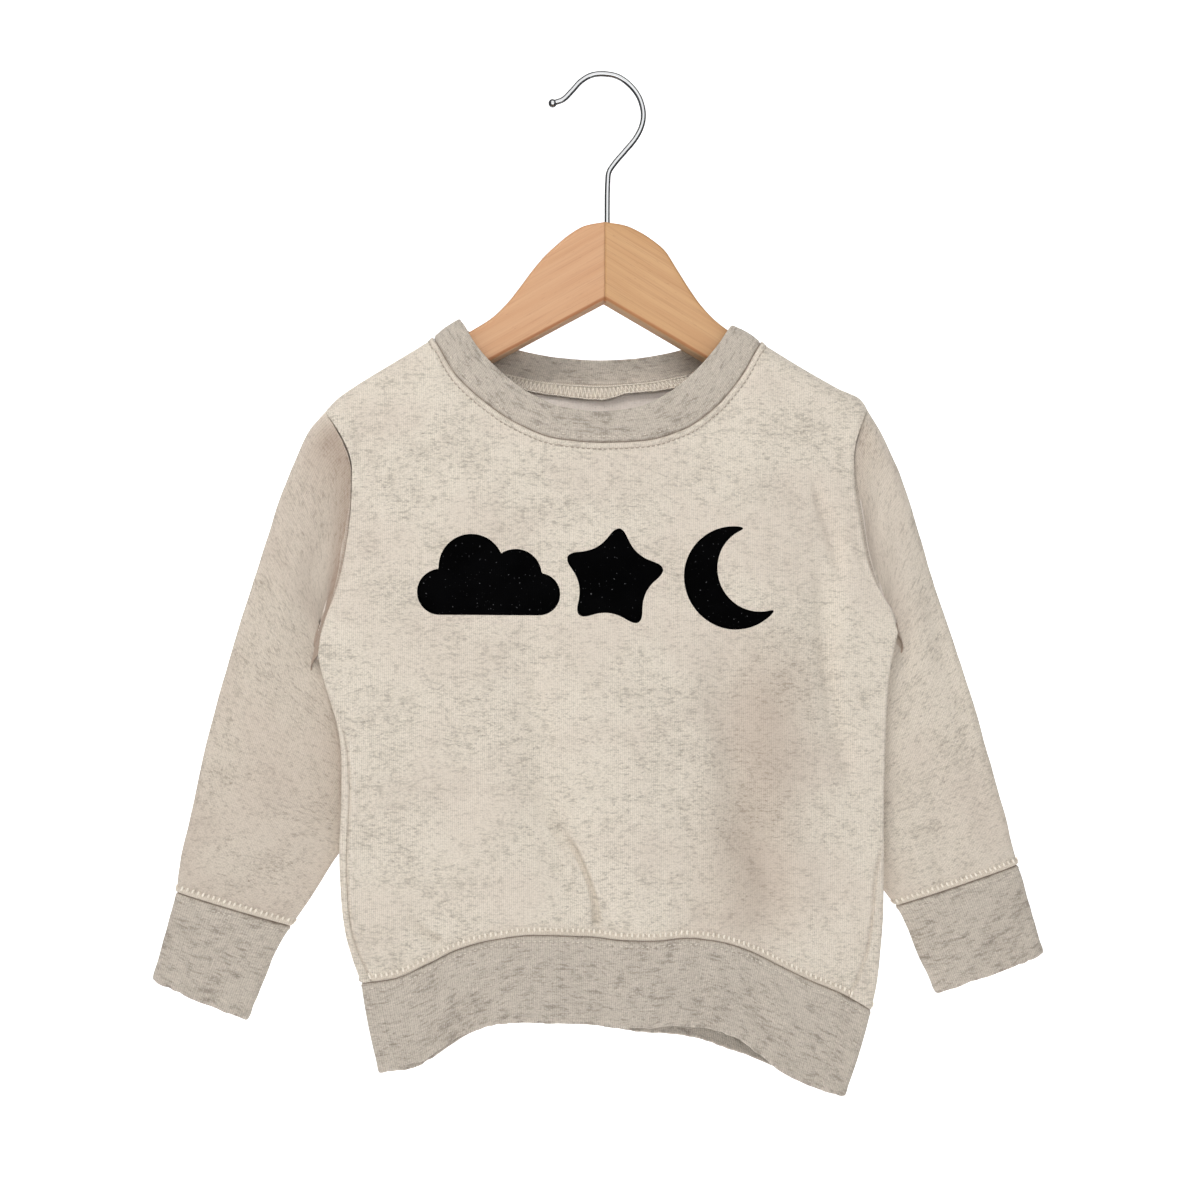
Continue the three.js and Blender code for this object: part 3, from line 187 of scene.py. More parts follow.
# Where the side seams lie in from the body's outline, by height from armpit (0) to hem (1).
SEAM_INSET = {
    -1: [(0, 0), (0.1, 0.0), (0.17, 1.4), (0.28, 3.2), (0.42, 4.8), (0.58, 4.6), (0.7, 4.0), (0.85, 3.8), (1, 6.2)],
    1: [(0, 0), (0.5, 0.0), (0.58, 2.0), (0.66, 5.0), (0.76, 6.4), (0.86, 7.6), (0.93, 10.5), (1, 13.4)],
}
# Creases of the front and back, each a polyline with: face, width, height (below 0 a trough),
# lean (a trough on one side and a ridge on the other), run-in and run-out lengths, points.
CREASES = [
    (-1, 1.7, -2.0, 0.9, 26, 5, [(-32.5, -420.0), (-24.6, -428.6), (-18.2, -437.4), (-13.4, -446.6), (-10.0, -455.6), (-7.6, -465.2), (-6.6, -477.5)]),
    (-1, 2.8, 1.35, 0.0, 16, 6, [(-38.6, -417.6), (-31.6, -426.4), (-25.9, -434.9), (-20.1, -444.8), (-15.9, -454.6), (-12.3, -465.2), (-10.6, -476.8)]),
    (-1, 8.0, -1.9, 0.0, 30, 20, [(-44, -318), (-40.5, -345), (-36.5, -380), (-33.5, -405), (-27, -424), (-17, -447)]),
    (-1, 1.5, 0.55, -0.5, 14, 5, [(34.2, -450.0), (33.6, -464.3), (33.0, -478.4)]),
    (-1, 2.8, -2.0, 0.5, 10, 4, [(-108.8, -471.6), (-103.4, -475.4), (-96.6, -479.9), (-88.2, -485.4)]),
    (-1, 4.5, 0.8, 0.0, 12, 6, [(-106, -479), (-100, -483), (-92, -488.5)]),
    (-1, 11.0, -2.5, 0.0, 40, 20, [(64.2, -318), (64.9, -345), (66.5, -375), (69.8, -400), (75.7, -421.1), (85.0, -444), (90.5, -466), (94.1, -486)]),
    (-1, 8.0, 0.8, 0.0, 40, 22, [(84, -330), (85, -360), (88, -392), (96, -420), (104, -448), (108, -474)]),
    (-1, 4.2, -1.9, 0.6, 22, 16, [(112.0, -226), (118.1, -246.4), (123.6, -261.4), (126.7, -275.2), (129.3, -289.9)]),
    (-1, 5.2, -1.9, 0.4, 24, 30, [(117.0, -274), (118.1, -296.2), (119.5, -315.4), (120.7, -337.3), (123.2, -362.3), (128.9, -385.6), (133.6, -404)]),
    (-1, 6.0, 0.9, 0.0, 24, 30, [(129, -262), (133, -280), (133.5, -300), (131.5, -322), (131, -345), (134, -368)]),
    (-1, 5.0, -0.8, 0.0, 22, 20, [(-124, -228), (-127, -246), (-128, -268), (-127.5, -290)]),
    (-1, 7.5, -0.9, 0.0, 26, 22, [(-133.5, -384), (-130.2, -404), (-126, -430), (-123.3, -458)]),
    (-1, 6.0, 0.7, 0.0, 22, 20, [(-137, -340), (-131, -362), (-125.5, -388), (-119, -414)]),
    (-1, 9.0, -0.9, 0.0, 32, 24, [(-86, -336), (-80, -368), (-77, -402), (-79, -436)]),
    (-1, 8.0, 0.7, 0.0, 30, 20, [(-60, -372), (-57, -402), (-55, -430), (-52, -462)]),
    (-1, 9.0, 0.8, 0.0, 28, 20, [(6, -360), (11, -394), (14, -430), (14, -468)]),
    (-1, 7.0, -0.7, 0.0, 24, 14, [(40, -392), (45, -424), (48, -452), (49, -480)]),
    (-1, 6.0, -0.7, 0.0, 24, 16, [(112, -412), (117, -440), (121, -468), (122, -498)]),
    (-1, 10.0, -0.8, 0.0, 30, 30, [(-112, -196), (-104, -216), (-99, -240), (-97, -266)]),
    (-1, 9.0, -0.7, 0.0, 30, 30, [(104, -188), (98, -208), (95, -228), (95, -250)]),
    (-1, 2.4, -0.45, 0.0, 8, 3, [(-52, -470), (-51, -480)]),
    (-1, 2.2, -0.5, 0.0, 8, 3, [(-34, -466), (-33, -480)]),
    (-1, 2.6, -0.5, 0.0, 8, 3, [(12, -470), (11, -483)]),
    (-1, 2.4, -0.45, 0.0, 8, 3, [(58, -472), (58, -486)]),
    (-1, 2.6, -0.5, 0.0, 8, 3, [(104, -492), (107, -504)]),
    # back
    (1, 3.6, -1.4, 0.4, 22, 5, [(30, -432), (24, -446), (20, -462), (18, -480)]),
    (1, 4.6, 1.0, 0.0, 20, 6, [(38, -430), (31, -446), (27, -462), (25, -480)]),
    (1, 2.6, -1.1, 0.3, 18, 4, [(-60, -440), (-54, -458), (-51, -480)]),
    (1, 10.0, -1.6, 0.0, 40, 24, [(-64, -300), (-58, -340), (-54, -382), (-52, -424), (-50, -462)]),
    (1, 9.0, 0.9, 0.0, 36, 24, [(-36, -320), (-30, -360), (-26, -402), (-24, -446)]),
    (1, 11.0, -1.5, 0.0, 40, 26, [(62, -286), (56, -326), (49, -368), (44, -410), (40, -452)]),
    (1, 8.0, 0.9, 0.0, 30, 20, [(8, -340), (4, -380), (2, -420), (2, -462)]),
    (1, 6.0, -1.0, 0.0, 30, 24, [(-98, -230), (-92, -256), (-88, -284), (-87, -310)]),
    (1, 6.0, -1.0, 0.0, 30, 24, [(98, -222), (92, -250), (88, -278), (86, -304)]),
    (1, 9.0, -1.0, 0.0, 30, 30, [(-40, -200), (-12, -206), (18, -205), (46, -198)]),
    (1, 2.4, -0.5, 0.0, 8, 3, [(-20, -470), (-20, -482)]),
    (1, 2.4, -0.5, 0.0, 8, 3, [(60, -474), (61, -488)]),
    (1, 2.4, -0.5, 0.0, 8, 3, [(-84, -476), (-86, -488)]),
]
# The same for the sleeves: side, face, width, height, lean, run-in, run-out, points.
SLEEVE_CREASES = [
    (-1, -1, 7.0, -1.5, 0.0, 26, 26, [(-150, -244), (-155, -270), (-160, -298), (-164, -330), (-168, -360)]),
    (-1, -1, 9.0, 1.0, 0.0, 30, 26, [(-166, -262), (-174, -296), (-180, -330), (-187, -366)]),
    (-1, -1, 8.0, -1.1, 0.0, 26, 20, [(-186, -300), (-192, -334), (-199, -372), (-205, -408), (-206, -440)]),
    (-1, -1, 5.0, -0.9, 0.0, 14, 12, [(-160, -362), (-169, -376), (-182, -385), (-196, -388)]),
    (-1, -1, 4.4, -0.8, 0.0, 12, 8, [(-176, -440), (-182, -452), (-186, -464)]),
    (-1, -1, 5.0, 0.7, 0.0, 14, 8, [(-194, -424), (-199, -440), (-202, -456)]),
    (-1, -1, 2.4, -0.45, 0.0, 6, 3, [(-190, -456), (-191.5, -464)]),
    (-1, -1, 2.4, -0.45, 0.0, 6, 3, [(-212, -448), (-213.5, -457)]),
    (1, -1, 7.0, -1.5, 0.0, 24, 26, [(148, -236), (151, -262), (157, -290), (165, -316), (168, -344)]),
    (1, -1, 8.0, 1.0, 0.0, 28, 26, [(163, -250), (170, -284), (177, -318), (184, -350)]),
    (1, -1, 8.0, -1.1, 0.0, 26, 20, [(180, -284), (188, -320), (197, -356), (205, -392), (210, -424)]),
    (1, -1, 5.0, -0.9, 0.0, 14, 12, [(162, -356), (172, -366), (184, -372), (196, -371)]),
    (1, -1, 4.4, -0.8, 0.0, 12, 8, [(176, -428), (183, -442), (188, -456)]),
    (1, -1, 5.0, 0.7, 0.0, 14, 8, [(198, -410), (204, -428), (208, -446)]),
    (1, -1, 2.4, -0.45, 0.0, 6, 3, [(186, -450), (187.5, -459)]),
    (1, -1, 2.4, -0.45, 0.0, 6, 3, [(212, -442), (213.5, -451)]),
    (-1, 1, 7.0, -1.4, 0.0, 26, 26, [(-156, -250), (-160, -282), (-160, -316), (-158, -350), (-162, -384)]),
    (-1, 1, 8.0, -1.1, 0.0, 26, 20, [(-180, -300), (-184, -336), (-190, -374), (-196, -410)]),
    (-1, 1, 5.0, -1.2, 0.0, 14, 12, [(-134, -386), (-150, -396), (-168, -400), (-188, -398)]),
    (-1, 1, 5.0, 0.9, 0.0, 14, 12, [(-140, -404), (-156, -412), (-174, -415), (-190, -412)]),
    (1, 1, 7.0, -1.4, 0.0, 26, 26, [(154, -244), (158, -276), (160, -308), (160, -342), (166, -376)]),
    (1, 1, 8.0, -1.1, 0.0, 26, 20, [(176, -292), (183, -328), (192, -364), (200, -398)]),
    (1, 1, 5.0, -1.2, 0.0, 14, 12, [(136, -378), (152, -388), (170, -391), (188, -388)]),
    (1, 1, 5.0, 0.9, 0.0, 14, 12, [(142, -396), (158, -403), (176, -405), (192, -401)]),
]
# The same for the bands: face (0 both), width, height, lean, run-in, run-out, points.
BAND_CREASES = [
    (-1, 4.0, -0.7, 0.0, 10, 10, [(49.3, -494), (50.3, -512), (49.2, -530)]),
    (-1, 4.0, 0.6, 0.0, 10, 10, [(58.0, -496), (59.5, -514), (61, -531)]),
    (-1, 6.0, -0.8, 0.0, 10, 8, [(72, -500), (77, -516), (84, -534)]),
    (-1, 6.0, 0.7, 0.0, 10, 8, [(88, -508), (94, -524), (100, -542)]),
    (-1, 5.0, -0.7, 0.0, 10, 8, [(-66, -494), (-68, -508), (-72, -524)]),
    (-1, 5.0, 0.6, 0.0, 10, 8, [(-80, -498), (-84, -512), (-88, -528)]),
    (-1, 6.0, -0.5, 0.0, 10, 8, [(-20, -490), (-21, -506), (-21, -524)]),
    (-1, 6.0, 0.5, 0.0, 10, 8, [(8, -492), (9, -508), (9, -526)]),
    (-1, 4.0, -0.6, 0.0, 8, 8, [(-104, -512), (-103, -526), (-104, -540)]),
    (1, 6.0, -0.8, 0.0, 10, 8, [(30, -492), (28, -510), (27, -530)]),
    (1, 6.0, -0.7, 0.0, 10, 8, [(-46, -492), (-44, -508), (-44, -526)]),
    (1, 5.0, 0.6, 0.0, 10, 8, [(64, -496), (66, -514), (68, -536)]),
    (1, 5.0, 0.6, 0.0, 10, 8, [(-76, -494), (-78, -510), (-80, -530)]),
]


# ---------------------------------------------------------------- small helpers
def clamp(k):
    return np.clip(k, 0.0, 1.0)


def smooth(k):
    c = clamp(k)
    return c * c * (3 - 2 * c)


def lerp(a, b, k):
    return a + (b - a) * k


def arc(d, r):
    q = 1 - clamp(d / r)
    return np.sqrt(1 - q * q)


def unit(v):
    return v / np.maximum(np.linalg.norm(v, axis=-1, keepdims=True), 1e-12)


def column(xs, ys):
    """Monotone cubic through one column of a table."""
    xs, ys = np.asarray(xs, float), np.asarray(ys, float)
    d = np.diff(ys) / np.diff(xs)
    m = np.empty_like(ys)
    m[0], m[-1] = d[0], d[-1]
    for i in range(1, len(ys) - 1):
        if d[i - 1] * d[i] <= 0:
            m[i] = 0
        else:
            h0, h1 = xs[i] - xs[i - 1], xs[i + 1] - xs[i]
            w0, w1 = 2 * h1 + h0, h1 + 2 * h0
            m[i] = (w0 + w1) / (w0 / d[i - 1] + w1 / d[i])

    def f(x):
        x = np.asarray(x, float)
        i = np.clip(np.searchsorted(xs, x, side="left") - 1, 0, len(xs) - 2)
        h = xs[i + 1] - xs[i]
        t = clamp((x - xs[i]) / h)
        t2, t3 = t * t, t * t * t
        return ((2 * t3 - 3 * t2 + 1) * ys[i] + (t3 - 2 * t2 + t) * h * m[i]
                + (3 * t2 - 2 * t3) * ys[i + 1] + (t3 - t2) * h * m[i + 1])
    return f


def columns(rows, names):
    return {n: column([r[0] for r in rows], [r[i + 1] for r in rows]) for i, n in enumerate(names)}


NECK = columns(NECK_SECTIONS, ["frontSeam", "frontRim", "backSeam", "backRim"])
SHOULDER = columns(SHOULDER_SECTIONS, ["leftX", "leftZ", "rightX", "rightZ"])
ARMHOLE = columns(ARMHOLE_SECTIONS, [-1, 1])
SIDE = columns(SIDE_SECTIONS, [-1, 1])
HEM = columns(HEM_SECTIONS, ["seam", -1, 1])
BODY = columns(BODY_SECTIONS, ["bulge", "middle", "tuck"])
TUBE_NAMES = ["outerX", "outerZ", "innerX", "innerZ", "frontOuter", "frontInner", "backOuter", "backInner"]
SLEEVE = {side: columns(rows, TUBE_NAMES) for side, rows in SLEEVE_SECTIONS.items()}
CUFF = {side: columns(rows, TUBE_NAMES) for side, rows in CUFF_SECTIONS.items()}
INSET = {side: column([r[0] for r in rows], [r[1] for r in rows]) for side, rows in SEAM_INSET.items()}

LATTICE = np.random.default_rng(7).random((97, 97))


def relief(u, v, seed):
    """Smooth value noise from -1 to 1, one bump per unit."""
    u, v = u + 13.7 * seed, v + 7.3 * seed
    i, j = np.floor(u).astype(int), np.floor(v).astype(int)
    a, b = smooth(u - i), smooth(v - j)
    g = lambda p, q: LATTICE[p % 97, q % 97]
    return 2 * lerp(lerp(g(i, j), g(i + 1, j), a), lerp(g(i, j + 1), g(i + 1, j + 1), a), b) - 1


def stroke(x, z, points, width, height, lean, run_in, run_out):
    """Height of one crease at x, z: a soft ridge or trough along a polyline."""
    pts = np.asarray(points, float)
    out = np.zeros_like(x)
    reach = 3.2 * width
    lo, hi = pts.min(0) - reach, pts.max(0) + reach
    near = (x > lo[0]) & (x < hi[0]) & (z > lo[1]) & (z < hi[1])
    if not near.any():
        return out
    q = np.stack([x[near], z[near]], -1)
    best = np.full(len(q), 1e9)
    side, along = np.zeros(len(q)), np.zeros(len(q))
    run = 0.0
    for a, b in zip(pts[:-1], pts[1:]):
        d = b - a
        long = math.hypot(*d)
        k = clamp(((q - a) @ d) / long ** 2)
        off = q - (a + k[:, None] * d)
        dist = np.hypot(off[:, 0], off[:, 1])
        nearer = dist < best
        best = np.where(nearer, dist, best)
        side = np.where(nearer, np.sign(d[0] * off[:, 1] - d[1] * off[:, 0]), side)
        along = np.where(nearer, run + k * long, along)
        run += long
    fade = smooth(along / run_in + 0.02) * smooth((run - along) / run_out + 0.25)
    wobble = 1 + 0.25 * np.sin(along / 11.0 + width)
    k = best / (width * wobble)
    bell = np.exp(-k * k)
    out[near] = height * fade * (bell + lean * side * k * np.exp(-k * k) * 1.6)
    return out


# ---------------------------------------------------------------- lines that pieces share
TOP_WIDTH = P["tip"][1][0] - P["tip"][0][0]
NECK_S0 = (P["neck"][0][0] - P["tip"][0][0]) / TOP_WIDTH
NECK_S1 = (P["neck"][1][0] - P["tip"][0][0]) / TOP_WIDTH


def neck_point(line, face, deg):
    a, b = P["neck"] if line == "Seam" else P["rim"]
    rad = np.radians(deg)
    k = (1 - np.cos(rad)) / 2
    drop = NECK[("front" if face < 0 else "back") + line](deg)
    extra = (4.4 if line == "Seam" else 3.4) if face < 0 else (1.4 if line == "Seam" else 0.2)
    y = face * (RIDGE_RADIUS * arc(drop, NECK_FOLD[face]) + extra * np.sin(rad) ** 2)
    return np.stack([lerp(a[0], b[0], k), y, lerp(a[1], b[1], k) - drop], -1)


def end(side):
    return 0 if side < 0 else 1


def armhole_y(side, face, w):
    tip, pit = P["tip"][end(side)], P["armpit"][end(side)]
    z = lerp(tip[1], pit[1], w)
    from_tip, from_pit = tip[1] - z, z - pit[1]
    if face < 0:
        return -np.minimum(10.2 * arc(from_tip, RIDGE_RADIUS), lerp(-FOLD_SEAM, 11.6, arc(from_pit, 5)))
    run = lerp(8.5, FOLD_BACK, smooth(w * 1.04))
    return np.where(from_tip < from_pit, run * arc(from_tip, RIDGE_RADIUS), lerp(FOLD_SEAM, run, arc(from_pit, 5)))


def armhole_point(side, face, w):
    tip, pit = P["tip"][end(side)], P["armpit"][end(side)]
    return np.stack([ARMHOLE[side](w), armhole_y(side, face, w), lerp(tip[1], pit[1], w)], -1)


def side_edge(side, t):
    w, g = (1 - t) / (1 - ARMPIT_T), 1 - t / ARMPIT_T
    tip, pit, hem = (P[n][end(side)][1] for n in ("tip", "armpit", "hem"))
    above = t >= ARMPIT_T
    return (np.where(above, ARMHOLE[side](clamp(w)), SIDE[side](clamp(g))),
            np.where(above, lerp(tip, pit, w), lerp(pit, hem, g)))


def neck_degrees(s):
    u = 2 * (s - NECK_S0) / (NECK_S1 - NECK_S0) - 1
    return np.degrees(np.arccos(np.clip(-u, -1, 1)))


def top_edge(face, s):
    kl, kr = clamp(s / NECK_S0), clamp((1 - s) / (1 - NECK_S1))
    n = neck_point("Seam", face, neck_degrees(s))
    x = np.where(s <= NECK_S0, SHOULDER["leftX"](kl), np.where(s >= NECK_S1, SHOULDER["rightX"](kr), n[..., 0]))
    z = np.where(s <= NECK_S0, SHOULDER["leftZ"](kl), np.where(s >= NECK_S1, SHOULDER["rightZ"](kr), n[..., 2]))
    return x, z


def open_depth(face, s, t, height):
    from_top, from_side = (1 - t) * height, np.minimum(s, 1 - s) * TOP_WIDTH
    if face < 0:
        return -(RIDGE_RADIUS + (-FOLD_FRONT - RIDGE_RADIUS) * smooth(from_top / 70)
                 + BODY["bulge"](t) * np.sin(np.pi * clamp(s)) ** 1.3)
    w = clamp((1 - t) / (1 - ARMPIT_T))
    edge = np.where(t < ARMPIT_T, FOLD_BACK, lerp(8.5, FOLD_BACK, smooth(w * 1.04)))
    reach = np.where(t < ARMPIT_T, 58.0, lerp(58.0, 40.0, smooth((1 - w) * 2)))
    opened = lerp(edge, BODY["middle"](t), smooth((from_side - BODY["tuck"](t)) / reach))
    return lerp(RIDGE_RADIUS, opened, smooth(from_top / 45))


def edge_pull(d, r, round_):
    q = 1 - clamp(d / r)
    return lerp(q * q * (3 - 2 * q), 1 - np.sqrt(np.maximum(1 - q * q, 0)), round_)


def body_folds(face, x, z):
    y = np.zeros_like(x)
    for f, x0, z0, x1, z1, width, depth in BODY_FOLDS:
        if f != face:
            continue
        dx, dz = x1 - x0, z1 - z0
        long = math.hypot(dx, dz)
        k = ((x - x0) * dx + (z - z0) * dz) / long ** 2
        along = np.maximum(0, np.maximum(-k, k - 1)) * long
        across = np.abs((x - x0) * dz - (z - z0) * dx) / long
        y += depth * np.exp(-((across / width) ** 2) - (along / (width * 1.4)) ** 2)
    return -face * y


def panel_point(face, s, t):
    """Points of a body panel's outer surface, before the fine creases."""
    s, t = np.broadcast_arrays(np.asarray(s, float), np.asarray(t, float))
    lx, lz = side_edge(-1, t)
    rx, rz = side_edge(1, t)
    tx, tz = top_edge(face, s)
    (blx, blz), (brx, brz) = P["hem"]
    (tlx, tlz), (trx, trz) = P["tip"]
    bx, bz = lerp(blx, brx, s), HEM["seam"](s)
    near_l, near_r = smooth(1 - s / 0.24), smooth(1 - (1 - s) / 0.24)

    def flat(u, v, bl, br, tl, tr):
        return (1 - u) * (1 - v) * bl + u * (1 - v) * br + (1 - u) * v * tl + u * v * tr

    def blend(left, right, top, bottom, c):
        return (flat(s, t, *c) + near_l * (left - flat(0, t, *c)) + near_r * (right - flat(1, t, *c))
                + t * (top - flat(s, 1, *c)) + (1 - t) * (bottom - flat(s, 0, *c)))
    x = blend(lx, rx, tx, bx, (blx, brx, tlx, trx))
    z = blend(lz, rz, tz, bz, (blz, brz, tlz, trz))

    height, width = np.hypot(tx - bx, tz - bz), rx - lx
    w, above = clamp((1 - t) / (1 - ARMPIT_T)), t >= ARMPIT_T
    edge_y = {side: np.where(above, armhole_y(side, face, w), FOLD_SEAM) for side in (-1, 1)}
    on_neck = (s > NECK_S0) & (s < NECK_S1)
    deg = neck_degrees(s)
    top_y = np.where(on_neck, neck_point("Seam", face, deg)[..., 1], 0.0)
    k = np.where(on_neck, smooth(NECK["frontSeam" if face < 0 else "backSeam"](deg) / RIDGE_RADIUS), 0.0)
    top_round, top_reach = 1 - k, lerp(RIDGE_RADIUS, 16.0, k)
    soft = np.where(above, smooth((1 - w) / 0.06), 0.0)
    side_reach = lerp(FOLD_REACH, 14.0, soft)
    pull_l = edge_pull(s * width, side_reach, 1 - soft)
    pull_r = edge_pull((1 - s) * width, side_reach, 1 - soft)
    pull_t = edge_pull((1 - t) * height * np.where(on_neck, 1.0, SHOULDER_COS), top_reach, top_round)
    d = lambda a, b: open_depth(face, np.asarray(a, float), np.asarray(b, float), height)
    y = (d(s, t) + pull_l * (edge_y[-1] - d(0, t)) + pull_r * (edge_y[1] - d(1, t)) + pull_t * (top_y - d(s, 1))
         - pull_l * pull_t * (0 - d(0, 1)) - pull_r * pull_t * (0 - d(1, 1)))
    inner = smooth(np.minimum(s, 1 - s) * width / 22) * smooth((1 - t) * height / 60)
    return np.stack([x, y + inner * body_folds(face, x, z), z], -1)


def tube_point(cols, v, c, face):
    k = (c + 1) / 2
    round_ = np.maximum(0, 1 - c * c) ** 0.32
    front = lerp(cols["frontInner"](v), cols["frontOuter"](v), np.where(v == 0, k, k * k))
    back = lerp(cols["backInner"](v), cols["backOuter"](v), k)
    return np.stack([lerp(cols["innerX"](v), cols["outerX"](v), k),
                     (front + back) / 2 + face * (back - front) / 2 * round_,
                     lerp(cols["innerZ"](v), cols["outerZ"](v), k)], -1)


def resample(points, count, closed, extra=()):
    """Even spacing along a line of points, with other arrays carried along."""
    p = np.concatenate([points, points[:1]]) if closed else points
    run = np.concatenate([[0], np.cumsum(np.linalg.norm(np.diff(p, axis=0), axis=1))])
    at = np.linspace(0, run[-1], count + 1)[:-1] if closed else np.linspace(0, run[-1], count)
    out = []
    for a in (points, *extra):
        a = np.concatenate([a, a[:1]]) if closed else a
        out.append(np.stack([np.interp(at, run, a[:, i]) for i in range(a.shape[1])], -1))
    return out, at


# ---------------------------------------------------------------- meshes from grids
def grid_faces(ni, nj, wrap_i=False, wrap_j=False, base=0, flip=False):
    i, j = np.arange(ni if wrap_i else ni - 1), np.arange(nj if wrap_j else nj - 1)
    i, j = np.meshgrid(i, j, indexing="ij")
    i, j = i.ravel(), j.ravel()
    i2, j2 = (i + 1) % ni, (j + 1) % nj
    f = np.stack([i * nj + j, i2 * nj + j, i2 * nj + j2, i * nj + j2], -1) + base
    return f[:, ::-1] if flip else f


def grid_normals(g, wrap_i=False, sign_hint=None):
    """Unit normals of a grid, turned one way all over to agree with the hint on the whole."""
    di = (np.roll(g, -1, 0) - np.roll(g, 1, 0)) if wrap_i else np.gradient(g, axis=0)
    dj = np.gradient(g, axis=1)
    n = np.cross(di, dj)
    length = np.linalg.norm(n, axis=-1)
    n = n / np.maximum(length, 1e-12)[..., None]
    if sign_hint is not None and (n * sign_hint)[length > 1e-9].sum() < 0:
        n = -n
    return n, length > 1e-7


def mesh_object(name, verts_mm, faces, materials, face_mat=None, cloth=None, tris=None, groove=None):
    me = bpy.data.meshes.new(name)
    verts = np.asarray(verts_mm, np.float32) * 0.001
    quads = np.asarray(faces, np.int32).reshape(-1, 4)
    if tris is None or not len(tris):
        me.vertices.add(len(verts))
        me.vertices.foreach_set("co", verts.ravel())
        me.loops.add(quads.size)
        me.loops.foreach_set("vertex_index", quads.ravel())
        me.polygons.add(len(quads))
        me.polygons.foreach_set("loop_start", np.arange(0, quads.size, 4, dtype=np.int32))
        me.update(calc_edges=True)
    else:
        me.from_pydata(verts.tolist(), [], quads.tolist() + [list(map(int, t)) for t in tris])
    for m in materials:
        me.materials.append(m)
    if face_mat is not None:
        me.polygons.foreach_set("material_index", np.asarray(face_mat, np.int32))
    me.polygons.foreach_set("use_smooth", np.ones(len(me.polygons), bool))
    if cloth is not None:
        a = me.attributes.new("cloth", "FLOAT_VECTOR", "POINT")
        a.data.foreach_set("vector", (np.asarray(cloth, np.float32) * 0.001).ravel())
        # the groove attribute holds painted shade, the share of the knit's seam colour
        g = me.attributes.new("groove", "FLOAT", "POINT")
        g.data.foreach_set("value", np.zeros(len(verts), np.float32) if groove is None
                           else clamp(np.asarray(groove)).astype(np.float32).ravel())
    me.update()
    me.validate()
    o = bpy.data.objects.new(name, me)
    bpy.context.scene.collection.objects.link(o)
    return o


def merge_points(o, distance=1e-6):
    import bmesh
    bm = bmesh.new()
    bm.from_mesh(o.data)
    bmesh.ops.remove_doubles(bm, verts=bm.verts, dist=distance)
    bmesh.ops.dissolve_degenerate(bm, dist=distance, edges=bm.edges)
    bm.to_mesh(o.data)
    bm.free()
    o.data.update()


def outward(o):
    """Turns the faces of a closed mesh outward."""
    me = o.data
    co = np.zeros(len(me.vertices) * 3, np.float64)
    me.vertices.foreach_get("co", co)
    co = co.reshape(-1, 3)
    me.calc_loop_triangles()
    t = np.zeros(len(me.loop_triangles) * 3, np.int32)
    me.loop_triangles.foreach_get("vertices", t)
    t = t.reshape(-1, 3)
    if np.einsum("ij,ij->i", co[t[:, 0]], np.cross(co[t[:, 1]], co[t[:, 2]])).sum() < 0:
        me.flip_normals()


def wall(name, outer, normals, thick, materials, cloth, wrap_i=False, merge=False, groove=None):
    """A closed cloth wall from a grid of outer points; the inner skin takes the second material."""
    ni, nj = outer.shape[:2]
    inner = outer - normals * thick
    verts = np.concatenate([outer.reshape(-1, 3), inner.reshape(-1, 3)])
    n = ni * nj
    faces = [grid_faces(ni, nj, wrap_i), grid_faces(ni, nj, wrap_i, base=n, flip=True)]
    index = np.arange(n).reshape(ni, nj)

    def rim(line, flip):
        a, b = line[:-1], line[1:]
        f = np.stack([a, b, b + n, a + n], -1)
        return f[:, ::-1] if flip else f
    loop = lambda line: np.concatenate([line, line[:1]]) if wrap_i else line
    faces += [rim(loop(index[:, 0]), True), rim(loop(index[:, -1]), False)]
    if not wrap_i:
        faces += [rim(index[0, :], False), rim(index[-1, :], True)]
    # where the wall is pinched thin in a fold, its inside looks like its outside, painted shade included
    pinched = (np.broadcast_to(thick, outer.shape[:2] + (1,)) < 0.3).ravel()
    mats = [np.zeros(len(f), int) for f in faces]
    mats[1] = np.where(pinched[faces[1][:, 0] - n], 0, 1)
    mats = np.concatenate(mats)
    deep = None if groove is None else np.concatenate([groove.ravel(), pinched * groove.ravel()])
    o = mesh_object(name, verts, np.concatenate(faces), materials, mats, np.concatenate([cloth.reshape(-1, 3)] * 2),
                    groove=deep)
    if merge:
        merge_points(o)
    outward(o)
    return o


def band(name, outer, normals, thick, materials, cloth, groove):
    """A closed ring of folded ribbing: outer[i][j] runs from the seam (j 0) to the free edge, which is round."""
    ni, nj = outer.shape[:2]
    inner = outer - normals * thick
    tip_dir = unit(outer[:, -1] - outer[:, -2])
    centre, r = (outer[:, -1] + inner[:, -1]) / 2, thick / 2
    turn = [centre + r * (math.cos(a) * normals[:, -1] + math.sin(a) * tip_dir)
            for a in np.linspace(0, math.pi, 9)[1:-1]]
    path = np.concatenate([outer, np.stack(turn, 1), inner[:, ::-1]], 1)
    run = np.concatenate([cloth, np.repeat(cloth[:, -1:], len(turn), 1), cloth[:, ::-1]], 1)
    m = path.shape[1]
    deep = np.concatenate([groove, np.zeros((ni, m - nj))], 1)
    o = mesh_object(name, path.reshape(-1, 3), grid_faces(ni, m, True, True), materials, cloth=run.reshape(-1, 3),
                    groove=deep)
    outward(o)
    return o


def place(o, slot, *nodes):
    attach(o, "root")
    if nodes:
        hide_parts(*nodes)
    return o


# ---------------------------------------------------------------- materials
def lin(*rgb):
    return tuple(((c / 255 + 0.055) / 1.055) ** 2.4 if c > 10.31 else c / 255 / 12.92 for c in rgb) + (1.0,)


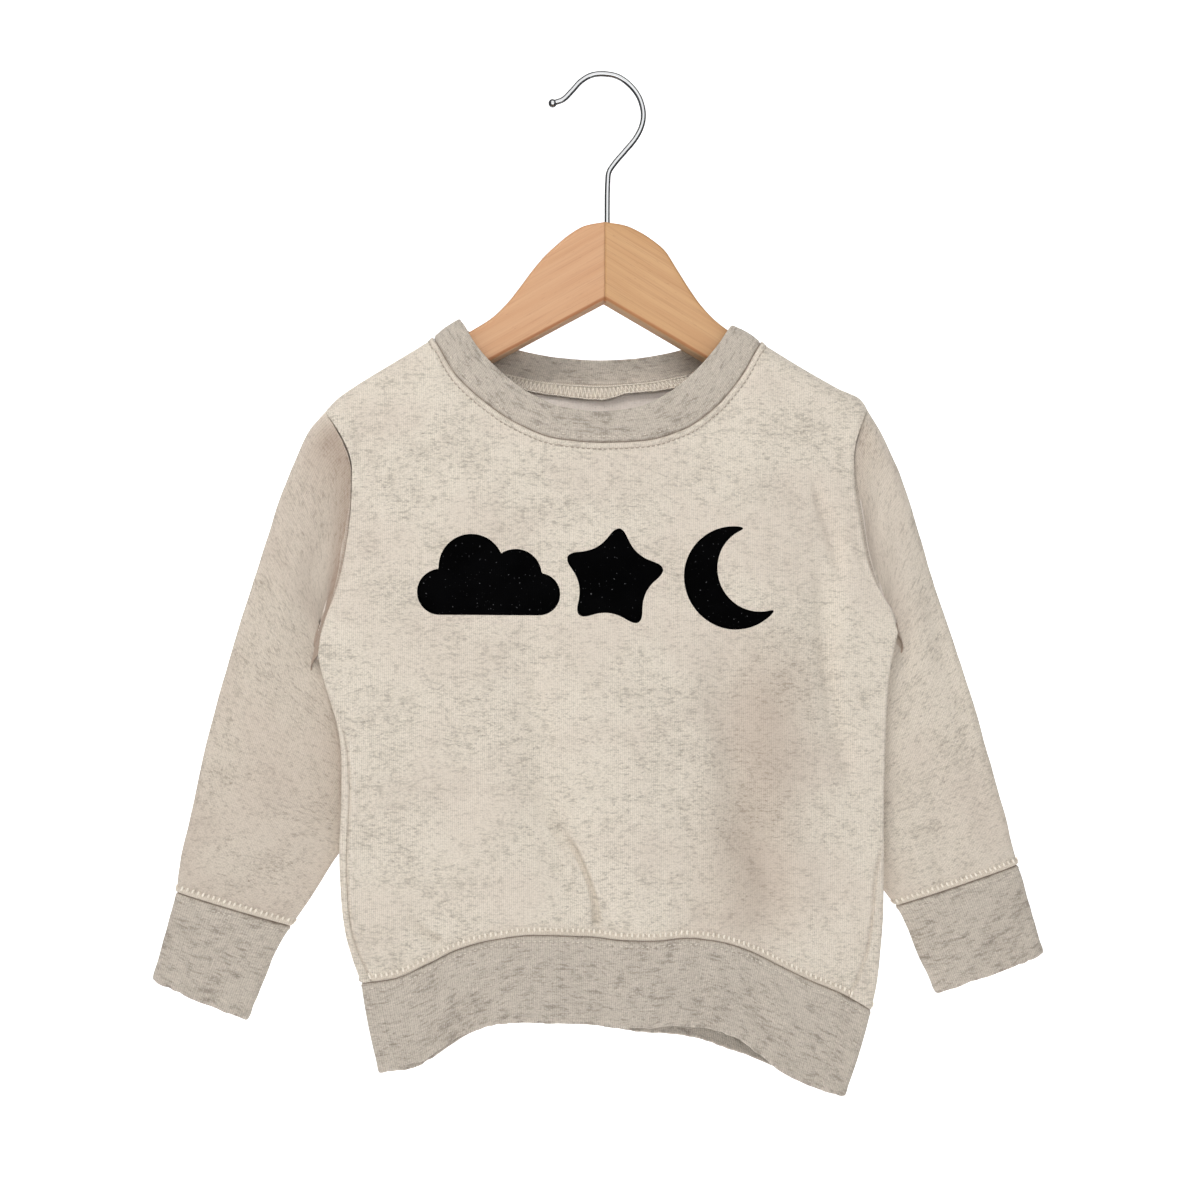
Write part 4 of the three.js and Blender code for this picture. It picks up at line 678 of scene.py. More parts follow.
class Nodes:
    """Short hand for a material's node tree."""

    def __init__(self, name):
        self.mat = bpy.data.materials.new(name)
        self.mat.use_nodes = True
        self.tree = self.mat.node_tree
        self.tree.nodes.clear()
        self.out = self.add("ShaderNodeOutputMaterial")
        self.bsdf = self.add("ShaderNodeBsdfPrincipled")
        self.link(self.bsdf.outputs[0], self.out.inputs[0])

    def add(self, kind, **props):
        n = self.tree.nodes.new(kind)
        for k, v in props.items():
            setattr(n, k, v)
        return n

    def link(self, a, b):
        self.tree.links.new(a, b)

    def put(self, socket, value):
        if isinstance(value, bpy.types.NodeSocket):
            self.link(value, socket)
        else:
            socket.default_value = value

    def math(self, op, a, b=0.0, c=0.0, clamped=False):
        n = self.add("ShaderNodeMath", operation=op, use_clamp=clamped)
        for s, v in zip(n.inputs, (a, b, c)):
            self.put(s, v)
        return n.outputs[0]

    def vec(self, op, a, b=(0, 0, 0)):
        n = self.add("ShaderNodeVectorMath", operation=op)
        self.put(n.inputs[0], a)
        self.put(n.inputs[1], b)
        return n.outputs[0]

    def noise(self, vector, scale=1.0, detail=2.0, rough=0.5, kind="Fac", distortion=0.0):
        n = self.add("ShaderNodeTexNoise")
        self.put(n.inputs["Vector"], vector)
        n.inputs["Scale"].default_value = scale
        n.inputs["Detail"].default_value = detail
        n.inputs["Roughness"].default_value = rough
        n.inputs["Distortion"].default_value = distortion
        return n.outputs[kind]

    def ramp(self, value, lo, hi, a=0.0, b=1.0, smoothed=True):
        n = self.add("ShaderNodeMapRange", interpolation_type="SMOOTHSTEP" if smoothed else "LINEAR")
        self.put(n.inputs["Value"], value)
        for k, v in (("From Min", lo), ("From Max", hi), ("To Min", a), ("To Max", b)):
            self.put(n.inputs[k], v)
        return n.outputs["Result"]

    def mix(self, k, a, b, mode="MIX"):
        n = self.add("ShaderNodeMix", data_type="RGBA", blend_type=mode)
        n.clamp_factor = True
        self.put(n.inputs["Factor"], k)
        self.put(n.inputs["A"], a)
        self.put(n.inputs["B"], b)
        return n.outputs["Result"]

    def bump(self, height, distance, strength=1.0, normal=None):
        n = self.add("ShaderNodeBump")
        n.inputs["Strength"].default_value = strength
        n.inputs["Distance"].default_value = distance
        self.put(n.inputs["Height"], height)
        if normal is not None:
            self.link(normal, n.inputs["Normal"])
        return n.outputs[0]

    def spread(self, value):
        n = self.add("ShaderNodeCombineXYZ")
        for s in n.inputs:
            self.put(s, value)
        return n.outputs[0]

    def cloth(self):
        return self.add("ShaderNodeAttribute", attribute_name="cloth").outputs["Vector"]

    def object_coords(self):
        return self.add("ShaderNodeTexCoord").outputs["Object"]


def knit_material(name, base, fleck, dark, light, wale, course, fleck_scale, fleck_amount, knit=1.0, tint=None,
                  seam=lin(108, 88, 74)):
    """Heather jersey or ribbing. The cloth attribute holds metres across the wales (x) and along them (y). seam is the
    colour of painted shade, which the groove attribute mixes in.
    """
    n = Nodes(name)
    c = n.cloth()
    sep = n.add("ShaderNodeSeparateXYZ")
    n.link(c, sep.inputs[0])
    u, v = sep.outputs[0], sep.outputs[1]
    fu, fv = fleck_scale
    # clusters of flecks, then the flecks: short streaks across the wales
    patch = n.noise(n.vec("MULTIPLY", c, (34, 48, 34)), detail=3.0, rough=0.6)
    patch2 = n.noise(n.vec("ADD", n.vec("MULTIPLY", c, (130, 200, 130)), (4.1, 8.2, 0)), detail=2.0, rough=0.55)
    streak = n.noise(n.vec("MULTIPLY", c, (fu, fv, 300)), detail=3.0, rough=0.6, distortion=0.25)
    fine = n.noise(n.vec("ADD", n.vec("MULTIPLY", c, (fu * 2.3, fv * 1.9, 900)), (9.3, 2.2, 0)), detail=3.0, rough=0.65)
    speck = n.noise(n.vec("ADD", n.vec("MULTIPLY", c, (fu * 1.9, fv * 1.2, 700)), (3.3, 71.0, 0)), detail=2.0, rough=0.5)
    level = n.math("ADD", n.math("MULTIPLY", patch, 0.20), n.math("MULTIPLY", patch2, 0.30))
    streak_k = n.math("ADD", streak, n.math("SUBTRACT", level, 0.25))
    fine_k = n.math("ADD", fine, n.math("MULTIPLY", n.math("SUBTRACT", level, 0.25), 0.7))
    a = n.ramp(streak_k, 0.48, 0.73)
    b = n.ramp(fine_k, 0.48, 0.72)
    s = n.ramp(n.math("ADD", speck, n.math("MULTIPLY", n.math("SUBTRACT", level, 0.25), 0.5)), 0.64, 0.71)
    pale = n.ramp(n.noise(n.vec("ADD", n.vec("MULTIPLY", c, (fu * 1.4, fv * 1.2, 300)), (31.0, 17.0, 0)), detail=3.0, rough=0.6), 0.46, 0.72)
    col = n.mix(n.math("MULTIPLY", pale, 0.6), base, light)
    col = n.mix(n.math("MULTIPLY", n.ramp(n.math("ADD", patch, n.math("MULTIPLY", patch2, 0.5)), 0.66, 0.94), 0.10), col, fleck)
    col = n.mix(n.math("MULTIPLY", a, fleck_amount), col, fleck)
    col = n.mix(n.math("MULTIPLY", b, fleck_amount * 0.62), col, fleck)
    col = n.mix(n.math("MULTIPLY", s, 0.40), col, dark)
    # single stitches catch or lose the light
    grain = n.noise(n.vec("MULTIPLY", c, (880, 1150, 900)), detail=1.0, rough=0.6)
    col = n.mix(n.math("MULTIPLY", n.ramp(grain, 0.52, 0.30), 0.30), col, fleck)
    col = n.mix(n.math("MULTIPLY", n.ramp(grain, 0.52, 0.74), 0.55), col, light)
    if tint is not None:
        col = n.mix(n.math("MULTIPLY", n.ramp(n.noise(n.vec("MULTIPLY", c, (17, 21, 17)), detail=1.0), 0.42, 0.66), 0.30), col, tint)
    # loops: a V in each wale and course
    ku = n.math("FRACT", n.math("DIVIDE", u, wale))
    tri = n.math("ABSOLUTE", n.math("SUBTRACT", n.math("MULTIPLY", ku, 2.0), 1.0))
    kv = n.math("FRACT", n.math("ADD", n.math("DIVIDE", v, course), n.math("MULTIPLY", tri, 0.55)))
    legs = n.math("SINE", n.math("MULTIPLY", kv, math.pi))
    groove = n.math("POWER", tri, 3.0)
    loops = n.math("SUBTRACT", n.math("MULTIPLY", legs, 0.5), n.math("MULTIPLY", groove, 1.0))
    # painted shade in the hollows between the loops
    col = n.mix(n.math("MULTIPLY", n.ramp(loops, -0.8, 0.3, 1.0, 0.0), 0.30 * knit), col, dark)
    # painted shade: the groove attribute darkens the cloth towards the seam colour in seams, creases and beside the
    # body
    deep = n.add("ShaderNodeAttribute", attribute_name="groove").outputs["Fac"]
    col = n.mix(n.math("MULTIPLY", deep, 0.62), col, seam)
    n.put(n.bsdf.inputs["Base Color"], col)
    n.bsdf.inputs["Roughness"].default_value = 0.93
    n.bsdf.inputs["Specular IOR Level"].default_value = 0.18
    n.bsdf.inputs["Sheen Weight"].default_value = 0.22
    n.bsdf.inputs["Sheen Roughness"].default_value = 0.55
    n.bsdf.inputs["Sheen Tint"].default_value = (1.0, 0.97, 0.93, 1.0)
    fuzz = n.noise(n.vec("MULTIPLY", c, (1500, 1900, 1500)), detail=2.0, rough=0.6)
    lumps = n.noise(n.vec("MULTIPLY", c, (260, 330, 260)), detail=3.0, rough=0.6)
    h = n.math("ADD", n.math("MULTIPLY", loops, 0.14 * knit), n.math("MULTIPLY", fuzz, 0.26))
    h = n.math("ADD", h, n.math("MULTIPLY", lumps, 0.34))
    n.put(n.bsdf.inputs["Normal"], n.bump(h, 0.0011, 0.75))
    return n.mat


# the fleece's seam colour is the warm brown of its painted shade
FLEECE = knit_material(
    "fleece", lin(227, 217, 202), lin(172, 162, 148), lin(120, 111, 101), lin(238, 229, 216),
    0.00105, 0.00085, (250, 640), 0.80, tint=lin(216, 201, 188), seam=lin(132, 98, 76))
# the inside is paler: partly the lighter brushed back of the cloth, partly painted light where the inside of the back
# neck lies in shadow
FLEECE_INSIDE = knit_material(
    "fleece_inside", lin(236, 225, 215), lin(218, 206, 196), lin(172, 162, 152), lin(243, 234, 226),
    0.0016, 0.0016, (300, 340), 0.35, knit=0.3)
RIB = knit_material(
    "rib", lin(200, 190, 177), lin(148, 138, 126), lin(112, 103, 94), lin(220, 209, 197),
    0.00118, 0.0008, (120, 470), 0.84, knit=1.3)
ROLL = knit_material(
    "seam_roll", lin(214, 202, 186), lin(186, 174, 159), lin(140, 129, 116), lin(228, 217, 202),
    0.00105, 0.00085, (260, 560), 0.35)


def thread_material(name, pale, shade):
    n = Nodes(name)
    c = n.object_coords()
    k = n.ramp(n.noise(n.vec("MULTIPLY", c, (900, 900, 900)), detail=2.0), 0.4, 0.7)
    n.put(n.bsdf.inputs["Base Color"], n.mix(k, pale, shade))
    n.bsdf.inputs["Roughness"].default_value = 0.7
    n.bsdf.inputs["Sheen Weight"].default_value = 0.3
    n.put(n.bsdf.inputs["Normal"], n.bump(n.noise(n.vec("MULTIPLY", c, (2600, 2600, 2600)), detail=2.0), 0.0002, 0.7))
    return n.mat


THREAD = thread_material("thread", lin(242, 233, 219), lin(220, 209, 194))
THREAD_SHADE = thread_material("thread_shade", lin(172, 160, 144), lin(148, 136, 121))
THREAD_DULL = thread_material("thread_dull", lin(222, 213, 199), lin(186, 177, 163))


def wood_material(name, lean, pale, mid, deep):
    """Beech with its grain along one arm. lean is the arm's slope, +1 down to the left, -1 down to the right."""
    n = Nodes(name)
    c = n.object_coords()
    rot = n.add("ShaderNodeMapping")
    rot.inputs["Rotation"].default_value = (0.0, lean * math.radians(31), 0.0)
    n.link(c, rot.inputs["Vector"])
    g = rot.outputs[0]
    warp = n.noise(n.vec("MULTIPLY", g, (9, 30, 30)), detail=2.0)
    bands = n.noise(n.vec("ADD", n.vec("MULTIPLY", g, (7, 120, 190)), n.vec("MULTIPLY", n.spread(warp), (1.2, 1.2, 1.2))), detail=3.0, rough=0.55)
    streaks = n.noise(n.vec("MULTIPLY", g, (22, 900, 1300)), detail=3.0, rough=0.6)
    rays = n.noise(n.vec("ADD", n.vec("MULTIPLY", g, (260, 900, 1500)), (5.0, 3.0, 1.0)), detail=2.0, rough=0.5)
    broad = n.noise(n.vec("MULTIPLY", g, (16, 30, 40)), detail=2.0)
    col = n.mix(n.math("MULTIPLY", n.ramp(bands, 0.30, 0.72), 0.75), pale, mid)
    col = n.mix(n.math("MULTIPLY", n.ramp(streaks, 0.46, 0.74), 0.34), col, deep)
    col = n.mix(n.math("MULTIPLY", n.ramp(rays, 0.66, 0.78), 0.4), col, deep)
    col = n.mix(n.math("MULTIPLY", n.ramp(broad, 0.45, 0.7), 0.3), col, pale)
    # painted shade: the arm's underside darker, and its lower bevel darker and warmer, where the faces turn down
    nrm = n.add("ShaderNodeNewGeometry").outputs["Normal"]
    up = n.add("ShaderNodeSeparateXYZ")
    n.link(nrm, up.inputs[0])
    under = n.ramp(up.outputs[2], -0.55, -0.8)
    col = n.mix(n.math("MULTIPLY", under, 0.45), col, lin(176, 148, 122))
    edge = n.math("MULTIPLY", n.ramp(up.outputs[2], -0.12, -0.38), n.ramp(up.outputs[2], -0.82, -0.6))
    col = n.mix(n.math("MULTIPLY", edge, 0.7), col, lin(176, 108, 62))
    n.put(n.bsdf.inputs["Base Color"], col)
    n.put(n.bsdf.inputs["Roughness"], n.ramp(streaks, 0.3, 0.7, 0.36, 0.5))
    n.bsdf.inputs["Specular IOR Level"].default_value = 0.35
    n.bsdf.inputs["Coat Weight"].default_value = 0.2
    n.bsdf.inputs["Coat Roughness"].default_value = 0.28
    n.put(n.bsdf.inputs["Normal"], n.bump(n.math("ADD", n.math("MULTIPLY", streaks, 0.6), n.math("MULTIPLY", rays, 0.4)), 0.00012, 0.5))
    return n.mat


WOOD_LEFT = wood_material("beech_left", 1, lin(207, 161, 121), lin(197, 146, 104), lin(168, 115, 78))
WOOD_RIGHT = wood_material("beech_right", -1, lin(201, 157, 110), lin(189, 141, 94), lin(160, 111, 70))


def chrome_material():
    n = Nodes("chrome")
    c = n.object_coords()
    n.bsdf.inputs["Base Color"].default_value = (0.86, 0.87, 0.88, 1.0)
    n.bsdf.inputs["Metallic"].default_value = 1.0
    wear = n.noise(n.vec("MULTIPLY", c, (90, 90, 90)), detail=4.0, rough=0.6)
    n.put(n.bsdf.inputs["Roughness"], n.ramp(wear, 0.35, 0.75, 0.05, 0.11))
    n.put(n.bsdf.inputs["Normal"], n.bump(n.noise(n.vec("MULTIPLY", c, (60, 60, 300)), detail=2.0), 0.00004, 0.12))
    return n.mat


CHROME = chrome_material()


def ink_material():
    n = Nodes("print_ink")
    c = n.cloth()
    lint = n.ramp(n.noise(n.vec("MULTIPLY", c, (700, 700, 700)), detail=1.0), 0.70, 0.78)
    patch = n.ramp(n.noise(n.vec("MULTIPLY", c, (60, 60, 60)), detail=2.0), 0.35, 0.7)
    col = n.mix(patch, (0.0007, 0.0007, 0.0008, 1), (0.0013, 0.0013, 0.0015, 1))
    col = n.mix(n.math("MULTIPLY", lint, 0.55), col, (0.16, 0.16, 0.165, 1))
    n.put(n.bsdf.inputs["Base Color"], col)
    n.bsdf.inputs["Roughness"].default_value = 0.85
    n.bsdf.inputs["Specular IOR Level"].default_value = 0.02
    sep = n.add("ShaderNodeSeparateXYZ")
    n.link(c, sep.inputs[0])
    wales = n.math("SINE", n.math("MULTIPLY", sep.outputs[0], 2 * math.pi / 0.00105))
    grain = n.noise(n.vec("MULTIPLY", c, (2400, 2400, 2400)), detail=2.0)
    n.put(n.bsdf.inputs["Normal"], n.bump(n.math("ADD", n.math("MULTIPLY", wales, 0.12), grain), 0.00025, 0.6))
    return n.mat


INK = ink_material()

# ---------------------------------------------------------------- body panels
HALF_GAP = SEAM_GAP / 6            # the pieces are sewn, so they almost meet


def creases(table, face, x, z):
    h = np.zeros_like(x)
    for f, width, height, lean, run_in, run_out, pts in table:
        if f == face or f == 0:
            h += stroke(x, z, pts, width, 1.3 * height, lean, run_in, run_out)
    return h


def smooth_rows(y, passes=14):
    """Evens a depth grid along its first axis; the ends keep their values."""
    out = y.copy()
    for _ in range(passes):
        out[1:-1] = 0.25 * out[:-2] + 0.5 * out[1:-1] + 0.25 * out[2:]
    return out


def stations(n, fine, peaks):
    """0 to 1: fine steps at both ends, and between them n more, closer together round each peak (at, reach, gain)."""
    edge = np.cumsum([0] + list(fine))
    k = np.linspace(edge[-1], 1 - edge[-1], 4000)
    density = np.ones_like(k)
    for at, reach, gain in peaks:
        density += gain * np.exp(-((k - at) / reach) ** 2)
    run = np.concatenate([[0], np.cumsum((density[1:] + density[:-1]) / 2)])
    inner = np.interp(np.linspace(0, run[-1], n), run, k)
    return np.concatenate([edge[:-1], inner, 1 - edge[:-1][::-1]])


EDGE_STEPS = np.array([0.12, 0.16, 0.22, 0.3, 0.4, 0.5, 0.6, 0.75, 0.9, 1.1]) / 300.0


def panel_grid(face, cols, rows):
    """Outer points, normals and cloth coordinates of a body panel. The side seams lie a little
    in from the outline on the front, so the front stops there and the back runs round to it."""
    across = [(0.43, 0.07, 1.3), (0.19, 0.05, 0.7), (0.91, 0.05, 0.5)] if face < 0 else [(0.6, 0.06, 0.6)]
    sigma = stations(cols, EDGE_STEPS, across)
    tau = stations(rows, EDGE_STEPS * 0.9, [(0.07, 0.13, 0.9)])
    tau = np.unique(np.concatenate([tau, [ARMPIT_T]]))
    g = clamp(1 - tau / ARMPIT_T)
    below = tau < ARMPIT_T
    width = 300.0
    inset = {side: np.where(below, INSET[side](g), 0.0) / width for side in (-1, 1)}
    gap = np.where(below & (inset[-1] > 0.4 / width), HALF_GAP / width, 0.0)
    gap_r = np.where(below & (inset[1] > 0.4 / width), HALF_GAP / width, 0.0)
    if face < 0:
        s0, s1 = inset[-1] + gap, 1 - inset[1] - gap_r
        S = s0[None] + (s1 - s0)[None] * sigma[:, None]
        T = np.repeat(tau[None], len(sigma), 0)
        pts = panel_point(-1, S, T)
        mask = edge_mask(S, T, pts)
        pts[..., 1] = lerp(pts[..., 1], smooth_rows(pts[..., 1]), mask)
        around = S
    else:
        T = np.repeat(tau[None], len(sigma), 0)
        S = np.repeat(sigma[:, None], len(tau), 1)
        pts = panel_point(1, S, T)
        mask = edge_mask(S, T, pts)
        pts[..., 1] = lerp(pts[..., 1], smooth_rows(pts[..., 1]), mask)
        wrap = np.linspace(1, 0, 15)[:-1] ** 1.6
        Tw = np.repeat(tau[None], len(wrap), 0)
        left = np.maximum(inset[-1] - gap, 0)[None] * wrap[:, None]
        right = np.maximum(inset[1] - gap_r, 0)[None] * wrap[::-1][:, None]
        pl, pr = panel_point(-1, left, Tw), panel_point(-1, 1 - right, Tw)
        at = ~below
        pl[:, at], pr[:, at] = pts[:1][:, at], pts[-1:][:, at]
        flat_l, flat_r = left[0] <= 0, right[0] <= 0
        pl[:, flat_l], pr[:, flat_r] = pts[:1][:, flat_l], pts[-1:][:, flat_r]
        pts = np.concatenate([pl, pts, pr])
        around = np.concatenate([-left, S, 1 + right])
        T = np.concatenate([Tw, T, Tw])
    # the wall lies in the seam's plane where front meets back
    normals, good = grid_normals(pts, False, np.array([0, face, 0]))
    for i in range(pts.shape[0] // 2, -1, -1):
        normals[i] = np.where(good[i][:, None], normals[i], normals[i + 1])
    for i in range(pts.shape[0] // 2, pts.shape[0]):
        normals[i] = np.where(good[i][:, None], normals[i], normals[i - 1])
    n = normals[:, -1]
    on_shoulder = (around[:, -1] <= NECK_S0) | (around[:, -1] >= NECK_S1)
    n[on_shoulder, 1] = 0
    normals[:, -1] = unit(n)
    if face < 0:
        free = inset[-1] * width < 0.4
        normals[0, free, 1] = 0
        free = inset[1] * width < 0.4
        normals[-1, free, 1] = 0
        normals[0], normals[-1] = unit(normals[0]), unit(normals[-1])
    else:
        for row, side in ((0, -1), (-1, 1)):
            free = inset[side] * width < 0.4
            normals[row, free, 1] = 0
            normals[row] = unit(normals[row])
            k = len(wrap)
            span = slice(0, k) if row == 0 else slice(-k, None)
            normals[span][:, free] = normals[row][free]
    return pts, normals, around, T, inset


def edge_mask(S, T, pts):
    x, z = pts[..., 0], pts[..., 2]
    along = np.minimum(S, 1 - S) * 300.0
    down = (1 - T) * 350.0
    return smooth((along - 10) / 16) * smooth((down - 16) / 22) * smooth(T * 350.0 / 8)


def panel(face, name, cols, rows):
    pts, normals, S, T, inset = panel_grid(face, cols, rows)
    x, z = pts[..., 0], pts[..., 2]
    wrapped = (S < 0) | (S > 1)
    on = np.where(wrapped, -face, face)
    h = creases(CREASES, face, x, z)
    # soft unevenness of the cloth
    loose = smooth(np.minimum(S, 1 - S) * 300.0 / 12) * smooth((1 - T) * 350.0 / 14) * smooth(T * 350.0 / 7 + 0.15)
    h = h * loose
    h += loose * (0.55 * relief(x / 34.0, z / 46.0, 3 if face < 0 else 4) + 0.26 * relief(x / 13.0, z / 19.0, 5)
                  + 0.10 * relief(x / 5.5, z / 6.5, 6))
    # the seam allowance lies under the cloth beside the armholes and pulls a groove at each seam
    lx, _ = side_edge(-1, T)
    rx, _ = side_edge(1, T)
    above = smooth((T - ARMPIT_T) / 0.02)
    for d in (x - lx, rx - x):
        d = np.abs(d)
        h += above * (0.55 * np.exp(-((d - 2.4) / 1.7) ** 2) - 0.22 * np.exp(-((d - 6.4) / 1.6) ** 2)
                      - 0.35 * np.exp(-(d / 0.8) ** 2)) * smooth((1 - T) * 350 / 12)
    # side seams below the armpit
    for side, edge_x in ((-1, lx), (1, rx)):
        g = clamp(1 - T / ARMPIT_T)
        seam_at = INSET[side](g)
        inward = (x - edge_x) if side < 0 else (edge_x - x)
        d = inward - seam_at
        live = (1 - above) * smooth((seam_at - 0.8) / 3.2) * (1.0 if face < 0 else wrapped)
        h += live * (0.45 * np.exp(-((d - 2.4) / 1.5) ** 2) + 0.3 * np.exp(-((d + 1.6) / 1.1) ** 2)
                     - 0.55 * np.exp(-(d / 0.7) ** 2))
    pts = pts + normals * h[..., None]
    if face < 0:
        pts[:, -1, 1] -= np.where((S[:, -1] <= NECK_S0) | (S[:, -1] >= NECK_S1), HALF_GAP, 0)
    else:
        pts[:, -1, 1] += np.where((S[:, -1] <= NECK_S0) | (S[:, -1] >= NECK_S1), HALF_GAP, 0)
    cloth = np.stack([x, z, np.full_like(x, 40.0 if face < 0 else 90.0)], -1)
    # painted shade in the armhole seams and along the side seams
    deep = np.zeros_like(x)
    for d in (x - lx, rx - x):
        deep += above * np.exp(-(d / 0.8) ** 2) * 0.08
    for side, edge_x in ((-1, lx), (1, rx)):
        seam_at = INSET[side](clamp(1 - T / ARMPIT_T))
        d = ((x - edge_x) if side < 0 else (edge_x - x)) - seam_at
        deep += (1 - above) * smooth((seam_at - 0.8) / 3.2) * 0.22 * np.exp(-(d / 0.6) ** 2)
    # painted shade in the broad trough down the right of the front
    if face < 0:
        at = 82 + 10 * (z + 410) / 90.0
        deep += 0.46 * np.exp(-((x - at) / 27.0) ** 2) * smooth((-300 - z) / 60) * smooth((z + 505) / 50)
    o = wall(name, pts, normals, CLOTH_WALL, [FLEECE, FLEECE_INSIDE], cloth, merge=face > 0, groove=deep)
    return o, pts, normals


front, front_pts, front_n = panel(-1, "front_panel", 196, 200)
back, back_pts, back_n = panel(1, "back_panel", 150, 150)


def surface_tree(pts):
    ni, nj = pts.shape[:2]
    return BVHTree.FromPolygons(pts.reshape(-1, 3).tolist(), grid_faces(ni, nj).tolist())


FRONT_TREE, BACK_TREE = surface_tree(front_pts), surface_tree(back_pts)


def project(tree, points, sense):
    """Nearest points of a surface and its normals, turned to agree with the given directions."""
    loc, nrm = np.empty_like(points), np.empty_like(points)
    for i, p in enumerate(points):
        q, n, _, _ = tree.find_nearest(Vector(p))
        loc[i], nrm[i] = q, n
    turn = np.sign((nrm * sense).sum(-1))
    turn[turn == 0] = 1
    return loc, nrm * turn[:, None]


# ---------------------------------------------------------------- seam loops
def loop_frame(p, d, sense):
    """Outward normals of a closed loop of seam points, whose pieces run along d."""
    tangent = unit(np.roll(p, -1, 0) - np.roll(p, 1, 0))
    n = unit(np.cross(tangent, d))
    if (n * sense).sum() < 0:
        n = -n
    return tangent, n


def neck_loop(count):
    k = np.linspace(0, 1, 700)
    deg = 90 * (1 - np.cos(math.pi * k))
    f, fr = neck_point("Seam", -1, deg), neck_point("Rim", -1, deg)
    b, br = neck_point("Seam", 1, deg)[1:-1][::-1], neck_point("Rim", 1, deg)[1:-1][::-1]
    p, rim = np.concatenate([f, b]), np.concatenate([fr, br])
    face = np.concatenate([np.full(len(f), -1.0), np.full(len(b), 1.0)])[:, None]
    (p, rim, face), run = resample(p, count, True, (rim, face))
    return p, rim, np.sign(face[:, 0]), run


def hem_loop(count):
    s = np.concatenate([np.linspace(0, 0.012, 60)[:-1], np.linspace(0.012, 0.988, 600), np.linspace(0.988, 1, 60)[1:]])

    def half(face):
        p = panel_point(face, s, np.zeros_like(s))
        p[0, 1] = p[-1, 1] = FOLD_SEAM
        low = np.stack([lerp(P["hem_end"][0][0], P["hem_end"][1][0], s), lerp(FOLD_SEAM, p[:, 1], 0.86), HEM[face](s)], -1)
        return p, low
    (f, fl), (b, bl) = half(-1), half(1)
    p = np.concatenate([f, b[1:-1][::-1]])
    low = np.concatenate([fl, bl[1:-1][::-1]])
    face = np.concatenate([np.full(len(f), -1.0), np.full(len(b) - 2, 1.0)])[:, None]
    (p, low, face), run = resample(p, count, True, (low, face))
    return p, low, np.sign(face[:, 0]), run


# ---------------------------------------------------------------- ribbing at the neck and hem
def rib_painted_shade(u, v, row):
    """Painted shade in a band's seam line and along its needle row, darker at the hole of each stitch."""
    holes = (0.5 + 0.5 * np.cos(2 * math.pi * u / STITCH)) ** 3
    return 0.95 * np.exp(-((v - 0.2) / 0.55) ** 2) + row * np.exp(-((v - 3.4) / 0.5) ** 2) * (0.45 + 0.55 * holes)


def knit_waves(u, v, amount, seed):
    return amount * (0.6 * relief(u / 16.0, v / 9.0, seed) + 0.4 * relief(u / 6.0, v / 5.0, seed + 1))


neck_p, neck_rim, neck_face, neck_run = neck_loop(480)
neck_d = unit(neck_rim - neck_p)
neck_t, neck_n = loop_frame(neck_p, neck_d, np.stack([0 * neck_face, neck_face, 0 * neck_face], -1))


def neck_ribbing():
    k = np.concatenate([[0, 0.02, 0.05, 0.09], np.linspace(0.14, 0.9, 12), [0.95, 0.985]])
    length = np.linalg.norm(neck_rim - neck_p, axis=1)
    ends = 1 - (RIB_WALL / 2) / length
    kk = k[None] * ends[:, None] / 0.985
    start = HALF_GAP / length
    kk = np.maximum(kk, start[:, None])
    pts = neck_p[:, None] + (neck_rim - neck_p)[:, None] * kk[..., None]
    pts = pts + neck_n[:, None] * (0.9 * np.sin(np.pi * clamp(kk)))[..., None]
    n, _ = grid_normals(pts, True, neck_n[:, None] * np.ones_like(pts))
    n[:, 0] = neck_n
    u = np.repeat(neck_run[:, None], len(k), 1)
    v = kk * length[:, None]
    h = knit_waves(u, v, 0.35, 11) * smooth(v / 2.0)
    h -= 0.55 * np.exp(-(v / 0.9) ** 2)                       # pulled in at the seam
    h -= 0.20 * np.exp(-((v - 3.4) / 0.55) ** 2)              # needle row
    h += 0.22 * np.exp(-((v - 1.9) / 0.8) ** 2)
    h += 0.07 * np.sin(2 * math.pi * u / 2.36) * smooth((v - 1) / 2)
    pts = pts + n * h[..., None]
    cloth = np.stack([u, v, np.full_like(u, 140.0)], -1)
    return band("neck_ribbing", pts, n, RIB_WALL, [RIB], cloth, rib_painted_shade(u, v, 0.35)), pts, n, v


neck_band, neck_pts, neck_pn, neck_v = neck_ribbing()

hem_p, hem_low, hem_face, hem_run = hem_loop(620)
hem_d = unit(hem_low - hem_p)
hem_t, hem_n = loop_frame(hem_p, hem_d, np.stack([0 * hem_face, hem_face, 0 * hem_face], -1))

HEM_SIDE_SEAM = {1: [(130.0, -521.8), (124.3, -536.4), (118.6, -552.1), (114.1, -563.5)],
                 -1: [(-122.4, -503.6), (-117.6, -520), (-113.4, -536), (-109.4, -548)]}


